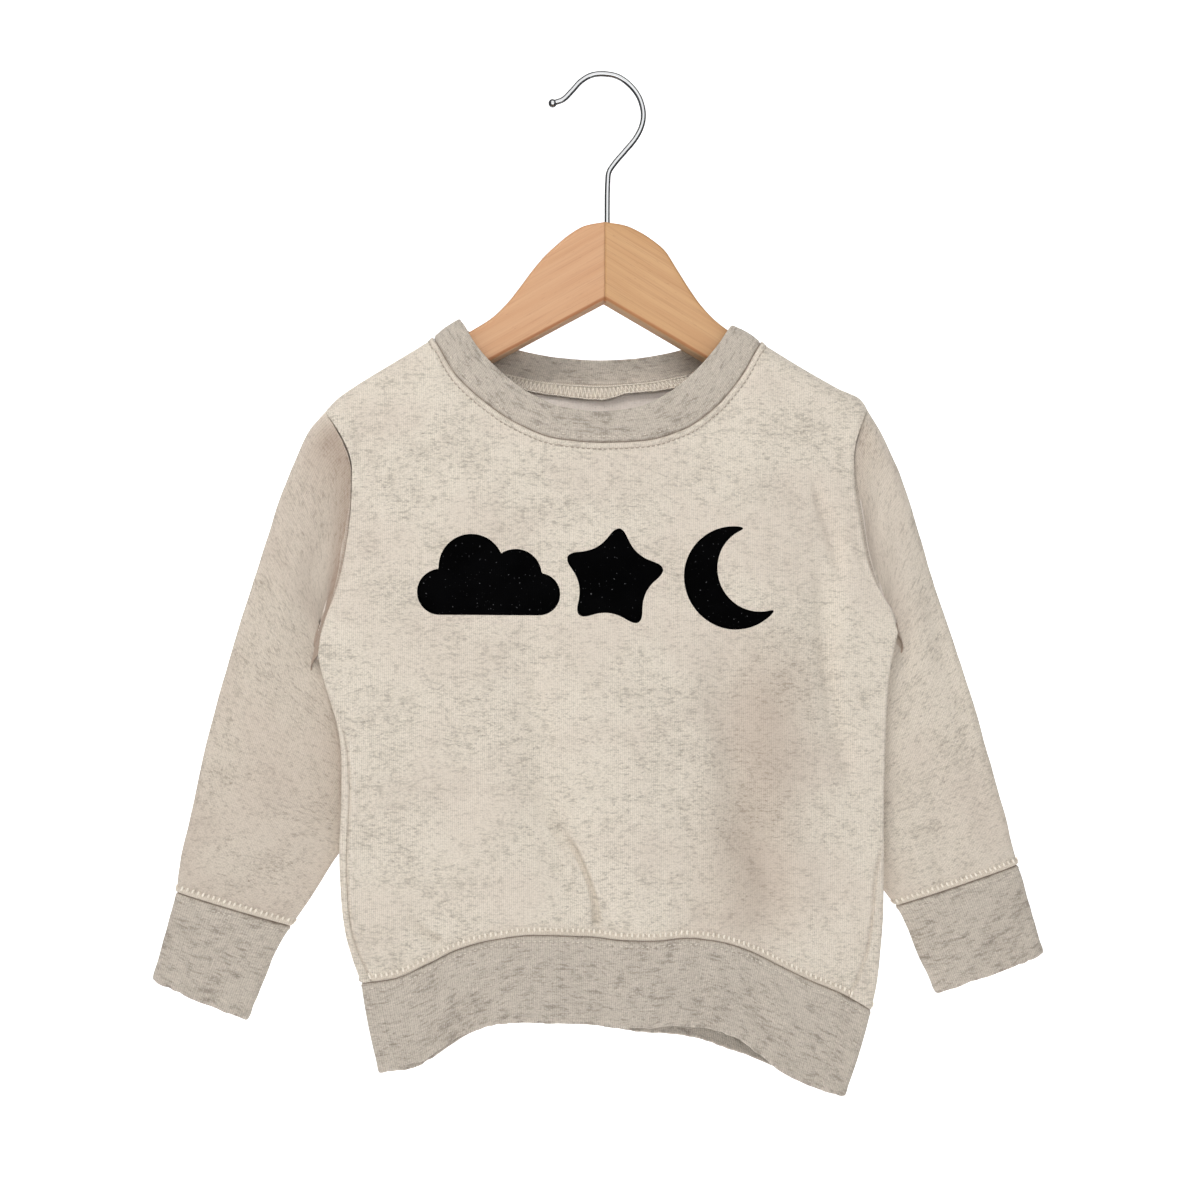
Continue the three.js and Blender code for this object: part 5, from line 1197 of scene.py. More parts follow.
def hem_ribbing():
    k = np.concatenate([[0, 0.008, 0.02, 0.035, 0.055, 0.08], np.linspace(0.11, 0.94, 24), [0.97, 0.99]])
    length = np.linalg.norm(hem_low - hem_p, axis=1)
    ends = 1 - (RIB_WALL / 2) / length
    kk = np.maximum(k[None] * ends[:, None] / 0.99, (HALF_GAP / length)[:, None])
    pts = hem_p[:, None] + (hem_low - hem_p)[:, None] * kk[..., None]
    pts = pts + hem_n[:, None] * (0.8 * np.sin(np.pi * clamp(kk)))[..., None]
    n, _ = grid_normals(pts, True, hem_n[:, None] * np.ones_like(pts))
    n[:, 0] = hem_n
    u, v = np.repeat(hem_run[:, None], len(k), 1), kk * length[:, None]
    x, z = pts[..., 0], pts[..., 2]
    face = np.repeat(hem_face[:, None], len(k), 1)
    c = np.where(face < 0, creases(BAND_CREASES, -1, x, z), creases(BAND_CREASES, 1, x, z))
    side = smooth((np.minimum(x - x.min(0), x.max(0) - x)) / 8)
    h = c * side * smooth(v / 4.0) + knit_waves(u, v, 0.5, 21) * smooth(v / 2.5) * side
    h -= 0.7 * np.exp(-(v / 1.0) ** 2)
    h -= 0.22 * np.exp(-((v - 3.3) / 0.55) ** 2)
    h += 0.26 * np.exp(-((v - 1.9) / 0.8) ** 2)
    h += 0.35 * np.exp(-((v - length[:, None] + 2.2) / 2.2) ** 2)     # the fold is fuller
    for pts_line in HEM_SIDE_SEAM.values():
        h += np.where(face < 0, stroke(x, z, pts_line, 0.8, -0.8, 0.0, 0.5, 0.5)
                      + stroke(x, z, pts_line, 2.6, 0.4, 0.0, 0.5, 0.5), 0)
    pts = pts + n * h[..., None]
    # the free edge waves a little
    wave = (0.5 * relief(u / 9.0, 0 * u, 31) + 0.35 * relief(u / 3.6, 0 * u, 32)) * smooth((v / length[:, None] - 0.6) / 0.4)
    pts = pts + hem_d[:, None] * wave[..., None]
    cloth = np.stack([u, v, np.full_like(u, 190.0)], -1)
    return band("hem_ribbing", pts, n, RIB_WALL, [RIB], cloth, rib_painted_shade(u, v, 0.4)), pts, n, v


hem_band, hem_pts, hem_pn, hem_v = hem_ribbing()


# ---------------------------------------------------------------- sleeves and cuffs
def sleeve_ring(side, w, face, v):
    c = 1 - 2 * w
    q = np.stack([ARMHOLE[side](w), np.where(face < 0, armhole_y(side, -1, w), armhole_y(side, 1, w)),
                  lerp(P["tip"][end(side)][1], P["armpit"][end(side)][1], w)], -1)
    q[w == 0, 1] = 0
    q[w == 1, 1] = FOLD_SEAM
    flat = tube_point(SLEEVE[side], np.zeros_like(v), c, face)
    return tube_point(SLEEVE[side], v, c, face) + (q - flat) * (1 - smooth(v / 0.42))[..., None]


def around_tube(n):
    """Fractions across a flattened tube and the face that each is on, once round."""
    k = np.linspace(0, 1, n + 1)
    w = (1 - np.cos(math.pi * k)) / 2
    w = np.concatenate([w, w[1:-1][::-1]])
    face = np.concatenate([np.full(n + 1, -1.0), np.full(n - 1, 1.0)])
    return w, face


def from_fold(pts):
    """Distance from each point of a flattened tube to the nearer of its two folds."""
    half = len(pts) // 2
    return np.minimum(np.linalg.norm(pts - pts[:1], axis=-1), np.linalg.norm(pts - pts[half:half + 1], axis=-1))


def tube_cloth(pts, seed):
    """Cloth coordinates of a tube: once round from its outer fold, and along."""
    round_ = np.linalg.norm(np.diff(pts, axis=0), axis=-1).mean(1)
    u = np.concatenate([[0], np.cumsum(round_)])
    along = np.linalg.norm(np.diff(pts, axis=1), axis=-1).mean(0)
    v = np.concatenate([[0], np.cumsum(along)])
    U, V = np.meshgrid(u, v, indexing="ij")
    return np.stack([U, -V, np.full_like(U, seed)], -1)


def sleeve(side, name):
    w, face = around_tube(62)
    v = np.concatenate([[0, 0.0015, 0.004, 0.008, 0.014, 0.022], np.linspace(0.032, 0.965, 118), [0.976, 0.985, 0.992, 0.997, 1.0]])
    W, V = np.meshgrid(w, v, indexing="ij")
    F = np.repeat(face[:, None], len(v), 1)
    pts = sleeve_ring(side, W, F, V)
    centre = pts.mean(0, keepdims=True)
    n, _ = grid_normals(pts, True, pts - centre)
    n[:, 0] = n[:, 1]
    x, z = pts[..., 0], pts[..., 2]
    h = np.zeros_like(x)
    for sd, f, width, height, lean, a, b, line in SLEEVE_CREASES:
        if sd == side:
            h += np.where(F == f, stroke(x, z, line, width, height, lean, a, b), 0)
    flat = smooth(np.minimum(W, 1 - W) * 90.0 / 9)
    length = 268.0
    d0, d1 = V * length, (1 - V) * length
    cloth = tube_cloth(pts, 260.0 + 50 * side)
    U = cloth[..., 0]
    h = h * flat * smooth(d0 / 10) * smooth(d1 / 8)
    h += (0.5 * relief(U / 30.0, V * length / 38.0, 41 + side) + 0.25 * relief(U / 12.0, V * length / 15.0, 43 + side)
          + 0.10 * relief(U / 5.0, V * length / 6.0, 45)) * smooth(d0 / 12) * smooth(d1 / 6)
    # sinks beside the armhole seam, most along its straight run
    run_in = smooth(W / 0.10) * smooth((1 - W) / 0.30)
    h -= (0.3 * np.exp(-(d0 / 1.6) ** 2) * smooth(W / 0.03) * smooth((1 - W) / 0.10)
          + 1.9 * run_in * np.exp(-((d0 - 1.5) / 9.0) ** 2))
    h -= 0.5 * np.exp(-(d1 / 1.0) ** 2)
    # a sharp fold has little room to sink into, and none for a full wall
    h = np.maximum(h, -0.25 * from_fold(pts))
    # seam under the arm
    under = np.minimum(np.abs(W - 1.0) * 90.0, 50)
    h += (0.3 * np.exp(-((under - 2.0) / 1.4) ** 2) - 0.45 * np.exp(-(under / 0.8) ** 2)) * smooth(d0 / 14)
    pts = pts + n * h[..., None]
    pts[:, 0, 0] += side * HALF_GAP
    axis = unit((pts[:, -1] - pts[:, -2]).mean(0))
    pts[:, -1] -= axis * HALF_GAP
    # painted shade: warm beside the body, along the armhole, then down the inner edge; also in the armhole, armpit,
    # under-arm and cuff seams, and a little over the whole sleeve, more on the left
    beside = np.exp(-((1 - W) * 90.0 / 32.0) ** 2) * smooth(d0 / 6) * smooth((225 - d0) / 90)
    deep = (0.10 * np.exp(-(d0 / 1.6) ** 2) * smooth(W / 0.03)
            + (0.62 if side < 0 else 0.36) * smooth(W / 0.10) * np.exp(-(d0 / 24.0) ** 2)
            + 0.5 * np.exp(-((1 - W) * 90.0 / 9.0) ** 2) * np.exp(-(d0 / 16.0) ** 2)
            + (0.62 if side < 0 else 0.36) * beside + (0.26 if side < 0 else 0.12) * smooth(d0 / 5)
            + 0.5 * np.exp(-(d1 / 0.8) ** 2)
            + 0.6 * np.exp(-(under / 0.7) ** 2) * smooth(d0 / 14))
    tight = (W > 0.5) * (10.0 * (1 - smooth((d0 - 50) / 40)) + 14.0 * (1 - smooth((d0 - 20) / 20)))
    room = np.clip(0.20 * (from_fold(pts) - tight), 0.08, CLOTH_WALL)[..., None]
    o = wall(name, pts, n, room, [FLEECE, FLEECE_INSIDE], cloth, wrap_i=True, groove=deep)
    return o, pts, n


sleeve_l, sleeve_l_pts, sleeve_l_n = sleeve(-1, "sleeve_left_cloth")
sleeve_r, sleeve_r_pts, sleeve_r_n = sleeve(1, "sleeve_right_cloth")


def cuff_ring(side, w, face, v):
    c = 1 - 2 * w
    top = sleeve_ring(side, w, face, np.ones_like(v))
    tube = tube_point(CUFF[side], np.maximum(v, 1e-6), c, face)
    first = tube_point(CUFF[side], np.full_like(v, 1e-6), c, face)
    return tube + (top - first) * (1 - smooth(v / 0.12))[..., None]


def cuff(side, name):
    w, face = around_tube(80)
    k = np.concatenate([[0, 0.008, 0.02, 0.035, 0.055, 0.08], np.linspace(0.11, 0.94, 24), [0.97, 0.985]])
    W, V = np.meshgrid(w, k / 1.0, indexing="ij")
    F = np.repeat(face[:, None], len(k), 1)
    pts = cuff_ring(side, W, F, V)
    pts, _ = even_rings(pts, 250)
    centre = pts.mean(0, keepdims=True)
    n, _ = grid_normals(pts, True, pts - centre)
    n[:, 0] = n[:, 1]
    cloth = tube_cloth(pts, 400.0 + 60 * side)
    u, v = cloth[..., 0], -cloth[..., 1]
    length = v.max()
    h = knit_waves(u, v, 0.45, 51 + side) * smooth(v / 2.5)
    h -= 0.7 * np.exp(-(v / 1.0) ** 2)
    h -= 0.2 * np.exp(-((v - 3.3) / 0.55) ** 2)
    h += 0.24 * np.exp(-((v - 1.9) / 0.8) ** 2)
    h += 0.35 * np.exp(-((v - length + 2.2) / 2.2) ** 2)
    pts = pts + n * h[..., None]
    axis = unit((pts[:, -1] - pts[:, -2]).mean(0))
    pts[:, 0] += axis * HALF_GAP
    wave = (0.5 * relief(u / 8.0, 0 * u, 61 + side) + 0.35 * relief(u / 3.4, 0 * u, 63)) * smooth((v / length - 0.6) / 0.4)
    pts = pts + axis * wave[..., None]
    cloth = np.stack([u, v, cloth[..., 2]], -1)
    return band(name, pts, n, RIB_WALL, [RIB], cloth, rib_painted_shade(u, v, 0.35)), pts, n


def even_rings(pts, count):
    """Rings of a tube resampled to even steps round, all from the same fold."""
    out = np.empty((count, pts.shape[1], 3))
    for j in range(pts.shape[1]):
        (p,), _ = resample(pts[:, j], count, True)
        out[:, j] = p
    return out, None


cuff_l, cuff_l_pts, cuff_l_n = cuff(-1, "cuff_left_ribbing")
cuff_r, cuff_r_pts, cuff_r_n = cuff(1, "cuff_right_ribbing")


# ---------------------------------------------------------------- cover-stitched seams
ROLL_AWAY = np.array([0.05, 0.3, 0.8, 1.4, 2.0, 2.6, 3.1, 3.5, 3.9])
ROLL_HIGH = np.array([-0.5, 0.25, 0.65, 0.85, 0.85, 0.68, 0.42, 0.12, -0.35])


def seam_roll(name, p, away, sense, trees, run, tuft, material):
    """The rolled edge of cloth beside a seam, pinched by each stitch: a closed strip that lies on the panel."""
    rings, deep = [], []
    count = len(p)
    total = run[-1] + (run[1] - run[0])
    stitches = max(1, round(total / STITCH))
    phase = run / total * stitches
    pinch = (0.5 + 0.5 * np.cos(2 * math.pi * phase)) ** 2
    fat = 1 + 0.12 * relief(run / 7.0, 0 * run, 71) + 0.1 * relief(run / 2.2, 0 * run, 72)
    for a, h in zip(ROLL_AWAY, ROLL_HIGH):
        q, nrm = trees(p + away * a, sense)
        outer = smooth((a - 1.2) / 1.6)
        rings.append(q + nrm * ((h * fat - tuft * pinch * outer * 0.55)[:, None]))
        # painted shade in the seam and along the stitch row, darker at each pinch
        deep.append(0.9 * math.exp(-((a - 3.5) / 0.55) ** 2) * (0.25 + 0.75 * pinch) + 0.8 * math.exp(-((a - 0.0) / 0.32) ** 2))
    for a, h in ((3.4, -0.8), (1.8, -0.9), (0.3, -0.9)):
        q, nrm = trees(p + away * a, sense)
        rings.append(q + nrm * h)
    pts = np.stack(rings, 1)
    across = np.concatenate([ROLL_AWAY, [3.4, 1.8, 0.3]])
    U, V = np.meshgrid(run, across, indexing="ij")
    shade = np.concatenate([np.stack(deep, 1), np.zeros((count, 3))], 1)
    o = mesh_object(name, pts.reshape(-1, 3), grid_faces(count, pts.shape[1], True, True), [material],
                    cloth=np.stack([U, V, np.full_like(U, 520.0)], -1).reshape(-1, 3), groove=shade)
    outward(o)
    return o, phase, stitches


def capsules(name, centres, along, up, length, width, height, material, bend=0.0):
    """Many short threads: ellipsoid tubes with their length along one way and a flat underside sunk in the cloth."""
    rings, sides = 7, 8
    x = np.cos(np.linspace(0, math.pi, rings))
    r = np.sqrt(np.maximum(0, 1 - x ** 4))
    r[0] = r[-1] = 0.25
    a = np.linspace(0, 2 * math.pi, sides, endpoint=False)
    side = unit(np.cross(along, up))
    n = len(centres)
    L = np.broadcast_to(length, n)[:, None, None, None]
    V = (centres[:, None, None] + along[:, None, None] * (x[None, :, None, None] * L / 2)
         + side[:, None, None] * (r[:, None] * np.cos(a))[None, :, :, None] * width / 2
         + up[:, None, None] * ((r[:, None] * np.sin(a))[None, :, :, None] * height / 2
                                + (bend * (1 - x ** 2))[None, :, None, None]))
    verts = V.reshape(-1, 3)
    one = grid_faces(rings, sides, False, True)
    quads = (one[None] + (np.arange(n) * rings * sides)[:, None, None]).reshape(-1, 4)
    cap = []
    for base, flip in ((0, False), ((rings - 1) * sides, True)):
        ring = np.arange(sides) + base
        q = [[ring[0], ring[1], ring[2], ring[3]], [ring[0], ring[3], ring[4], ring[5]], [ring[0], ring[5], ring[6], ring[7]]]
        cap += [f[::-1] if flip else f for f in q]
    cap = np.array(cap)
    quads = np.concatenate([quads, (cap[None] + (np.arange(n) * rings * sides)[:, None, None]).reshape(-1, 4)])
    o = mesh_object(name, verts, quads, [material])
    outward(o)
    return o


def joined_capsules(name, groups):
    """One object from several sets of threads, each with its own material."""
    parts = [capsules(name + "_part", *g) for g in groups]
    base = parts[0]
    with bpy.context.temp_override(active_object=base, object=base, selected_objects=parts, selected_editable_objects=parts):
        bpy.ops.object.join()
    base.name = name
    base.data.name = name
    return base


def one_tree(pts):
    ni, nj = pts.shape[:2]
    tree = BVHTree.FromPolygons(pts.reshape(-1, 3).tolist(), grid_faces(ni, nj, True).tolist())
    return lambda points, sense: project(tree, points, sense)


def stitch_rows(p, away, tangent, n, find, run, stitches, offset, shift, along_row, length, width, height, lift, jitter, seed):
    """Centres and directions for one row of stitches beside a seam."""
    total = run[-1] + (run[1] - run[0])
    at = (np.arange(stitches) + shift) / stitches * total
    rng = np.random.default_rng(seed)
    at = at + rng.normal(0, jitter, stitches)
    idx = np.interp(at % total, np.append(run, total), np.arange(len(run) + 1))
    i0 = np.floor(idx).astype(int) % len(run)
    i1, f = (i0 + 1) % len(run), (idx - np.floor(idx))[:, None]
    pick = lambda a: lerp(a[i0], a[i1], f)
    q, t, aw, sense = pick(p), unit(pick(tangent)), unit(pick(away)), unit(pick(n))
    loc, nrm = find(q + aw * offset, sense)
    way = t if along_row else aw
    way = unit(way - nrm * (way * nrm).sum(-1, keepdims=True))
    return (loc + nrm * lift, way, nrm, length, width, height)


def seam_set(prefix, p, d, t, n, run, panel_find, rib_find, tuft, up_row):
    roll, phase, count = seam_roll(prefix + "_roll", p, -d, n, panel_find, run, tuft, ROLL if up_row else FLEECE)
    groups = []
    if up_row:      # loops that wrap the roll's edge
        groups.append((*stitch_rows(p, -d, t, n, panel_find, run, count, 2.7, 0.5, False, 2.7, 1.25, 1.0, 0.45, 0.12, 5), THREAD))
    else:           # a plain row beside it
        groups.append((*stitch_rows(p, -d, t, n, panel_find, run, count, 3.5, 0.5, True, 1.9, 0.8, 0.55, 0.10, 0.08, 6), THREAD_SHADE))
    groups.append((*stitch_rows(p, d, t, n, rib_find, run, count, 3.4, 0.5, True, 1.6, 0.5, 0.36, -0.05, 0.10, 7), THREAD_DULL))
    threads = joined_capsules(prefix + "_stitches", groups)
    return roll, threads


def both(points, sense):
    """Looks up the front or back surface by the sign of the sense's depth."""
    on_front = sense[:, 1] < 0
    loc, nrm = np.empty_like(points), np.empty_like(points)
    for tree, on in ((FRONT_TREE, on_front), (BACK_TREE, ~on_front)):
        if on.any():
            loc[on], nrm[on] = project(tree, points[on], sense[on])
    return loc, nrm


neck_roll, neck_stitches = seam_set("neck_seam", neck_p, neck_d, neck_t, neck_n, neck_run, both, one_tree(neck_pts), 0.75, False)
hem_roll, hem_stitches = seam_set("hem_seam", hem_p, hem_d, hem_t, hem_n, hem_run, both, one_tree(hem_pts), 1.15, True)


def cuff_seam(side, prefix, sleeve_pts, cuff_pts):
    ring = cuff_pts[:, 0]
    (p,), run = resample(ring, 180, True)
    axis = unit((cuff_pts[:, 3] - cuff_pts[:, 0]).mean(0))
    d = np.repeat(axis[None], len(p), 0)
    t, n = loop_frame(p, d, p - p.mean(0))
    p = p - d * HALF_GAP
    return seam_set(prefix, p, d, t, n, run, one_tree(sleeve_pts), one_tree(cuff_pts), 1.15, True)


cuff_l_roll, cuff_l_stitches = cuff_seam(-1, "cuff_left_seam", sleeve_l_pts, cuff_l_pts)
cuff_r_roll, cuff_r_stitches = cuff_seam(1, "cuff_right_seam", sleeve_r_pts, cuff_r_pts)


# ---------------------------------------------------------------- overlocked allowance inside the back neck
# x, height of the allowance below the back neck seam
ALLOWANCE = column([-90, -50, -39.5, -24.8, -12.4, -2.8, 3.4, 11.9, 24, 36.5, 48.7, 90],
                   [3.2, 5.0, 7.2, 7.7, 8.2, 8.6, 7.7, 5.6, 6.0, 6.4, 4.8, 3.2])


def neck_allowance():
    on = (neck_face > 0) & (neck_p[:, 1] > RIDGE_RADIUS * 0.9)
    idx = np.where(on)[0]
    p, d, n = neck_p[idx], neck_d[idx], neck_n[idx]
    run = neck_run[idx] - neck_run[idx][0]
    inner = p - n * (CLOTH_WALL + 0.2)
    down = -d
    length = ALLOWANCE(p[:, 0]) + 0.35 * relief(run / 4.0, 0 * run, 81) + 0.3 * np.sin(2 * math.pi * run / 2.3)
    lift = 0.5 + 0.9 * relief(run / 12.0, 0 * run, 82) ** 2
    k = np.linspace(0, 1, 12)
    thick = 1.5
    rings = []
    for kk in k:        # face towards the front
        curl = 0.9 * kk ** 3
        rings.append(inner + down * (length * kk)[:, None] - n * (thick + lift * kk + curl)[:, None])
    for kk in k[::-1]:
        curl = 0.9 * kk ** 3
        rings.append(inner + down * (length * kk)[:, None] - n * (0.1 + lift * kk + curl)[:, None])
    pts = np.stack(rings, 1)
    bulge = 0.34 * np.sin(2 * math.pi * run / 2.3)
    pts[:, 2:11] -= n[:, None] * bulge[:, None, None] * 0.6
    m = pts.shape[1]
    verts = pts.reshape(-1, 3)
    faces = grid_faces(len(p), m, False, True)
    half = m // 2
    caps = []
    for base, flip in ((0, True), ((len(p) - 1) * m, False)):
        for j in range(half - 1):
            f = [base + j, base + j + 1, base + m - 2 - j, base + m - 1 - j]
            caps.append(f[::-1] if flip else f)
    U, V = np.meshgrid(run, np.concatenate([k, k[::-1]]) * 6.5, indexing="ij")
    kk = V / 6.5
    shade = (0.7 * np.exp(-((kk - 1.0) / 0.10) ** 2) + 0.5 * np.exp(-((kk - 0.07) / 0.05) ** 2)
             + 0.28 * (0.5 + 0.5 * np.cos(2 * math.pi * (U / 2.3 + kk))) ** 3)
    o = mesh_object("neck_allowance", verts, np.concatenate([faces, np.array(caps)]), [ROLL],
                    cloth=np.stack([U, V, np.full_like(U, 610.0)], -1).reshape(-1, 3), groove=shade)
    outward(o)
    return o, inner, down, n, run, length, lift, thick


allowance, al_in, al_down, al_n, al_run, al_len, al_lift, al_thick = neck_allowance()


def tube_mesh(name, paths, radius, sides, material):
    """Round threads along several point lists, as one mesh with closed ends."""
    verts, faces, base = [], [], 0
    a = np.linspace(0, 2 * math.pi, sides, endpoint=False)
    for path in paths:
        path = np.asarray(path, float)
        t = unit(np.gradient(path, axis=0))
        ref = np.array([0.0, 1.0, 0.0])
        b = unit(np.cross(t, ref))
        c = np.cross(t, b)
        r = np.full(len(path), radius)
        r[0] = r[-1] = radius * 0.4
        ring = path[:, None] + r[:, None, None] * (b[:, None] * np.cos(a)[None, :, None] + c[:, None] * np.sin(a)[None, :, None])
        verts.append(ring.reshape(-1, 3))
        faces.append(grid_faces(len(path), sides, False, True, base))
        for start, flip in ((base, False), (base + (len(path) - 1) * sides, True)):
            q = [[start + 0, start + k, start + k + 1, start + k + 2] for k in range(1, sides - 2, 2)]
            faces.append(np.array([f[::-1] if flip else f for f in q]))
        base += len(path) * sides
    o = mesh_object(name, np.concatenate(verts), np.concatenate(faces), [material])
    outward(o)
    return o


def overlock_threads():
    """Thread zigzags over the allowance, and a chain along its free edge."""
    total = al_run[-1]

    def at(s, k, lift_by):
        s = np.clip(s, 0, total)
        f = lambda a: np.stack([np.interp(s, al_run, a[:, i]) for i in range(3)], -1)
        g = lambda a: np.interp(s, al_run, a)
        k = np.asarray(k, float)
        return (f(al_in) + f(al_down) * (g(al_len) * k)[:, None]
                - f(al_n) * (al_thick + g(al_lift) * k + 0.9 * k ** 3 + lift_by)[:, None])
    paths = []
    step, n = 2.3, int(total / 2.3)
    s, k = [], []
    for i in range(n):
        s += [i * step, i * step + 0.25 * step, i * step + 0.5 * step, i * step + 0.75 * step]
        k += [0.16, 0.55, 0.95, 0.55]
    s, k = np.array(s), np.array(k)
    fine = np.linspace(0, len(s) - 1, len(s) * 3)
    paths.append(at(np.interp(fine, np.arange(len(s)), s), np.interp(fine, np.arange(len(s)), k), 0.12))
    for level in (0.12, 0.98):
        q = np.linspace(0, total, int(total / 0.45))
        paths.append(at(q, level + 0.05 * np.sin(2 * math.pi * q / 1.15), 0.16 + 0.08 * np.cos(2 * math.pi * q / 1.15)))
    return tube_mesh("neck_overlock", paths, 0.34, 6, THREAD)


overlock = overlock_threads()


# ---------------------------------------------------------------- printed motifs
def star_outline(cx, cz, r_out, r_in, turn, round_by):
    a = np.arange(10) * math.pi / 5 + turn
    r = np.where(np.arange(10) % 2 == 0, r_out, r_in)
    return rounded(np.stack([cx + r * np.sin(a), cz + r * np.cos(a)], -1), round_by)


def rounded(poly, radius, steps=9):
    """A polygon with its corners rounded, as evenly spaced points."""
    out = []
    n = len(poly)
    for i in range(n):
        p, a, b = poly[i], poly[i - 1], poly[(i + 1) % n]
        u, v = (a - p) / np.linalg.norm(a - p), (b - p) / np.linalg.norm(b - p)
        r = radius[i] if hasattr(radius, "__len__") else radius
        cut = min(r, 0.48 * np.linalg.norm(a - p), 0.48 * np.linalg.norm(b - p))
        k = np.linspace(0, 1, steps)[:, None]
        out.append((1 - k) ** 2 * (p + u * cut) + 2 * k * (1 - k) * p + k ** 2 * (p + v * cut))
    pts = np.concatenate(out)
    (pts,), _ = resample(pts, max(60, int(np.linalg.norm(np.diff(pts, axis=0), axis=1).sum() / 0.9)), True)
    return pts


def circles_union(circles, low):
    """Outline of a cloud: the upper envelope of some circles over a straight base with round ends."""
    xs = np.linspace(min(c[0] - c[2] for c in circles), max(c[0] + c[2] for c in circles), 260)
    top = np.full_like(xs, -1e9)
    for cx, cz, r in circles:
        inside = np.abs(xs - cx) <= r
        top = np.where(inside, np.maximum(top, cz + np.sqrt(np.maximum(0, r * r - (xs - cx) ** 2))), top)
    bottom = np.full_like(xs, low)
    for cx, cz, r in (circles[0], circles[-1]):
        end_ = (xs < cx) if cx == circles[0][0] else (xs > cx)
        bottom = np.where(end_ & (np.abs(xs - cx) <= r), cz - np.sqrt(np.maximum(0, r * r - (xs - cx) ** 2)), bottom)
    bottom = np.maximum(bottom, low)
    pts = np.concatenate([np.stack([xs, top], -1), np.stack([xs, bottom], -1)[::-1]])
    (pts,), _ = resample(pts, int(np.linalg.norm(np.diff(pts, axis=0), axis=1).sum() / 0.9), True)
    return pts


def crescent(cx, cz, r, shift, r2, turn):
    """A moon: one circle less another that is set to one side, with blunt tips."""
    d = shift
    x = (d * d + r * r - r2 * r2) / (2 * d)
    h = math.sqrt(r * r - x * x)
    a0, b0 = math.atan2(h, x), math.atan2(h, x - d)
    outer = np.linspace(a0, 2 * math.pi - a0, 120)
    inner = np.linspace(2 * math.pi - b0, b0, 110)
    p = np.concatenate([np.stack([r * np.cos(outer), r * np.sin(outer)], -1)[2:-2],
                        np.stack([d + r2 * np.cos(inner), r2 * np.sin(inner)], -1)[2:-2]])
    c, s = math.cos(turn), math.sin(turn)
    p = p @ np.array([[c, s], [-s, c]])
    p = p + [cx, cz]
    (p,), _ = resample(p, int(np.linalg.norm(np.diff(p, axis=0), axis=1).sum() / 0.9), True)
    for _ in range(6):
        p = 0.25 * np.roll(p, 1, 0) + 0.5 * p + 0.25 * np.roll(p, -1, 0)
    return p


def printed(name, outline):
    """A thin skin of ink on the front, following its creases, with a rounded edge."""
    area2 = np.sum(outline[:, 0] * np.roll(outline[:, 1], -1) - outline[:, 1] * np.roll(outline[:, 0], -1))
    if area2 < 0:
        outline = outline[::-1]
    t = unit(np.roll(outline, -1, 0) - np.roll(outline, 1, 0))
    inward = np.stack([-t[:, 1], t[:, 0]], -1)
    ring1, ring2 = outline + inward * 0.18, outline + inward * 0.5
    lo, hi = outline.min(0), outline.max(0)
    gx, gz = np.meshgrid(np.arange(lo[0], hi[0], 1.5), np.arange(lo[1], hi[1], 1.5), indexing="ij")
    grid = np.stack([gx.ravel(), gz.ravel()], -1)
    # inside test against the polygon, a little way in
    x, z = grid[:, 0:1], grid[:, 1:2]
    a, b = ring2, np.roll(ring2, -1, 0)
    crosses = ((a[None, :, 1] > z) != (b[None, :, 1] > z)) & (
        x < (b[None, :, 0] - a[None, :, 0]) * (z - a[None, :, 1]) / (b[None, :, 1] - a[None, :, 1] + 1e-12) + a[None, :, 0])
    inside = crosses.sum(1) % 2 == 1
    far = np.min(np.hypot(x - ring2[None, :, 0], z - ring2[None, :, 1]), axis=1) > 0.8
    grid = grid[inside & far]
    n = len(outline)
    flat = np.concatenate([ring2, grid])
    edges = [(i, (i + 1) % n) for i in range(n)]
    v2, _, tri, _, _, _ = delaunay_2d_cdt([Vector(p) for p in flat], edges, [list(range(n))], 1, 1e-7)
    top = np.array([tuple(p) for p in v2])
    tri = np.array([list(f) for f in tri])

    def lifted(xz, high):
        out = np.empty((len(xz), 3))
        for i, (px, pz) in enumerate(xz):
            hit, nrm, _, _ = FRONT_TREE.ray_cast(Vector((px, -60, pz)), Vector((0, 1, 0)))
            nrm = nrm if nrm.y < 0 else -nrm
            out[i] = hit + nrm * high
        return out
    top3 = lifted(top, 0.14)
    ring = [lifted(ring1, 0.11), lifted(outline, -0.02), lifted(outline, -0.35)]
    under = lifted(top, -0.35)
    m = len(top)
    verts = np.concatenate([top3, *ring, under])
    faces = [tri.tolist()]
    quads = []
    idx = [np.arange(n)] + [m + k * n + np.arange(n) for k in range(3)]
    # top ring of the skin is the first n of the triangulated points
    order = [int(np.argmin(np.hypot(*(top - ring2[i]).T))) for i in range(n)]
    rings = [np.array(order), idx[1], idx[2], idx[3], m + 3 * n + np.array(order)]
    for r0, r1 in zip(rings[:-1], rings[1:]):
        r0b, r1b = np.roll(r0, -1), np.roll(r1, -1)
        quads.append(np.stack([r0, r1, r1b, r0b], -1))
    quads = np.concatenate(quads)
    tris = np.concatenate([tri[:, ::-1], tri + m + 3 * n])
    cloth = np.stack([verts[:, 0], verts[:, 2], np.full(len(verts), 40.0)], -1)
    o = mesh_object(name, verts, quads, [INK], cloth=cloth, tris=tris)
    outward(o)
    return o


# The print is a row of plain night-sky shapes, 194 mm wide and 57 mm tall.
motifs = [
    printed("print_cloud", circles_union([(-90.5, -298.5, 12.5), (-74, -284.5, 17.5), (-50, -289.0, 14.0), (-37.5, -299.5, 11.5)], -311.0)),
    printed("print_star", star_outline(3.0, -290.5, 31.5, 17.5, 0.12, 9.0)),
    printed("print_moon", crescent(70.0, -289.5, 28.5, 14.5, 23.5, 0.35)),
]


# ---------------------------------------------------------------- hanger
HANGER = columns(HANGER_SECTIONS, ["topLeft", "topRight", "low"])


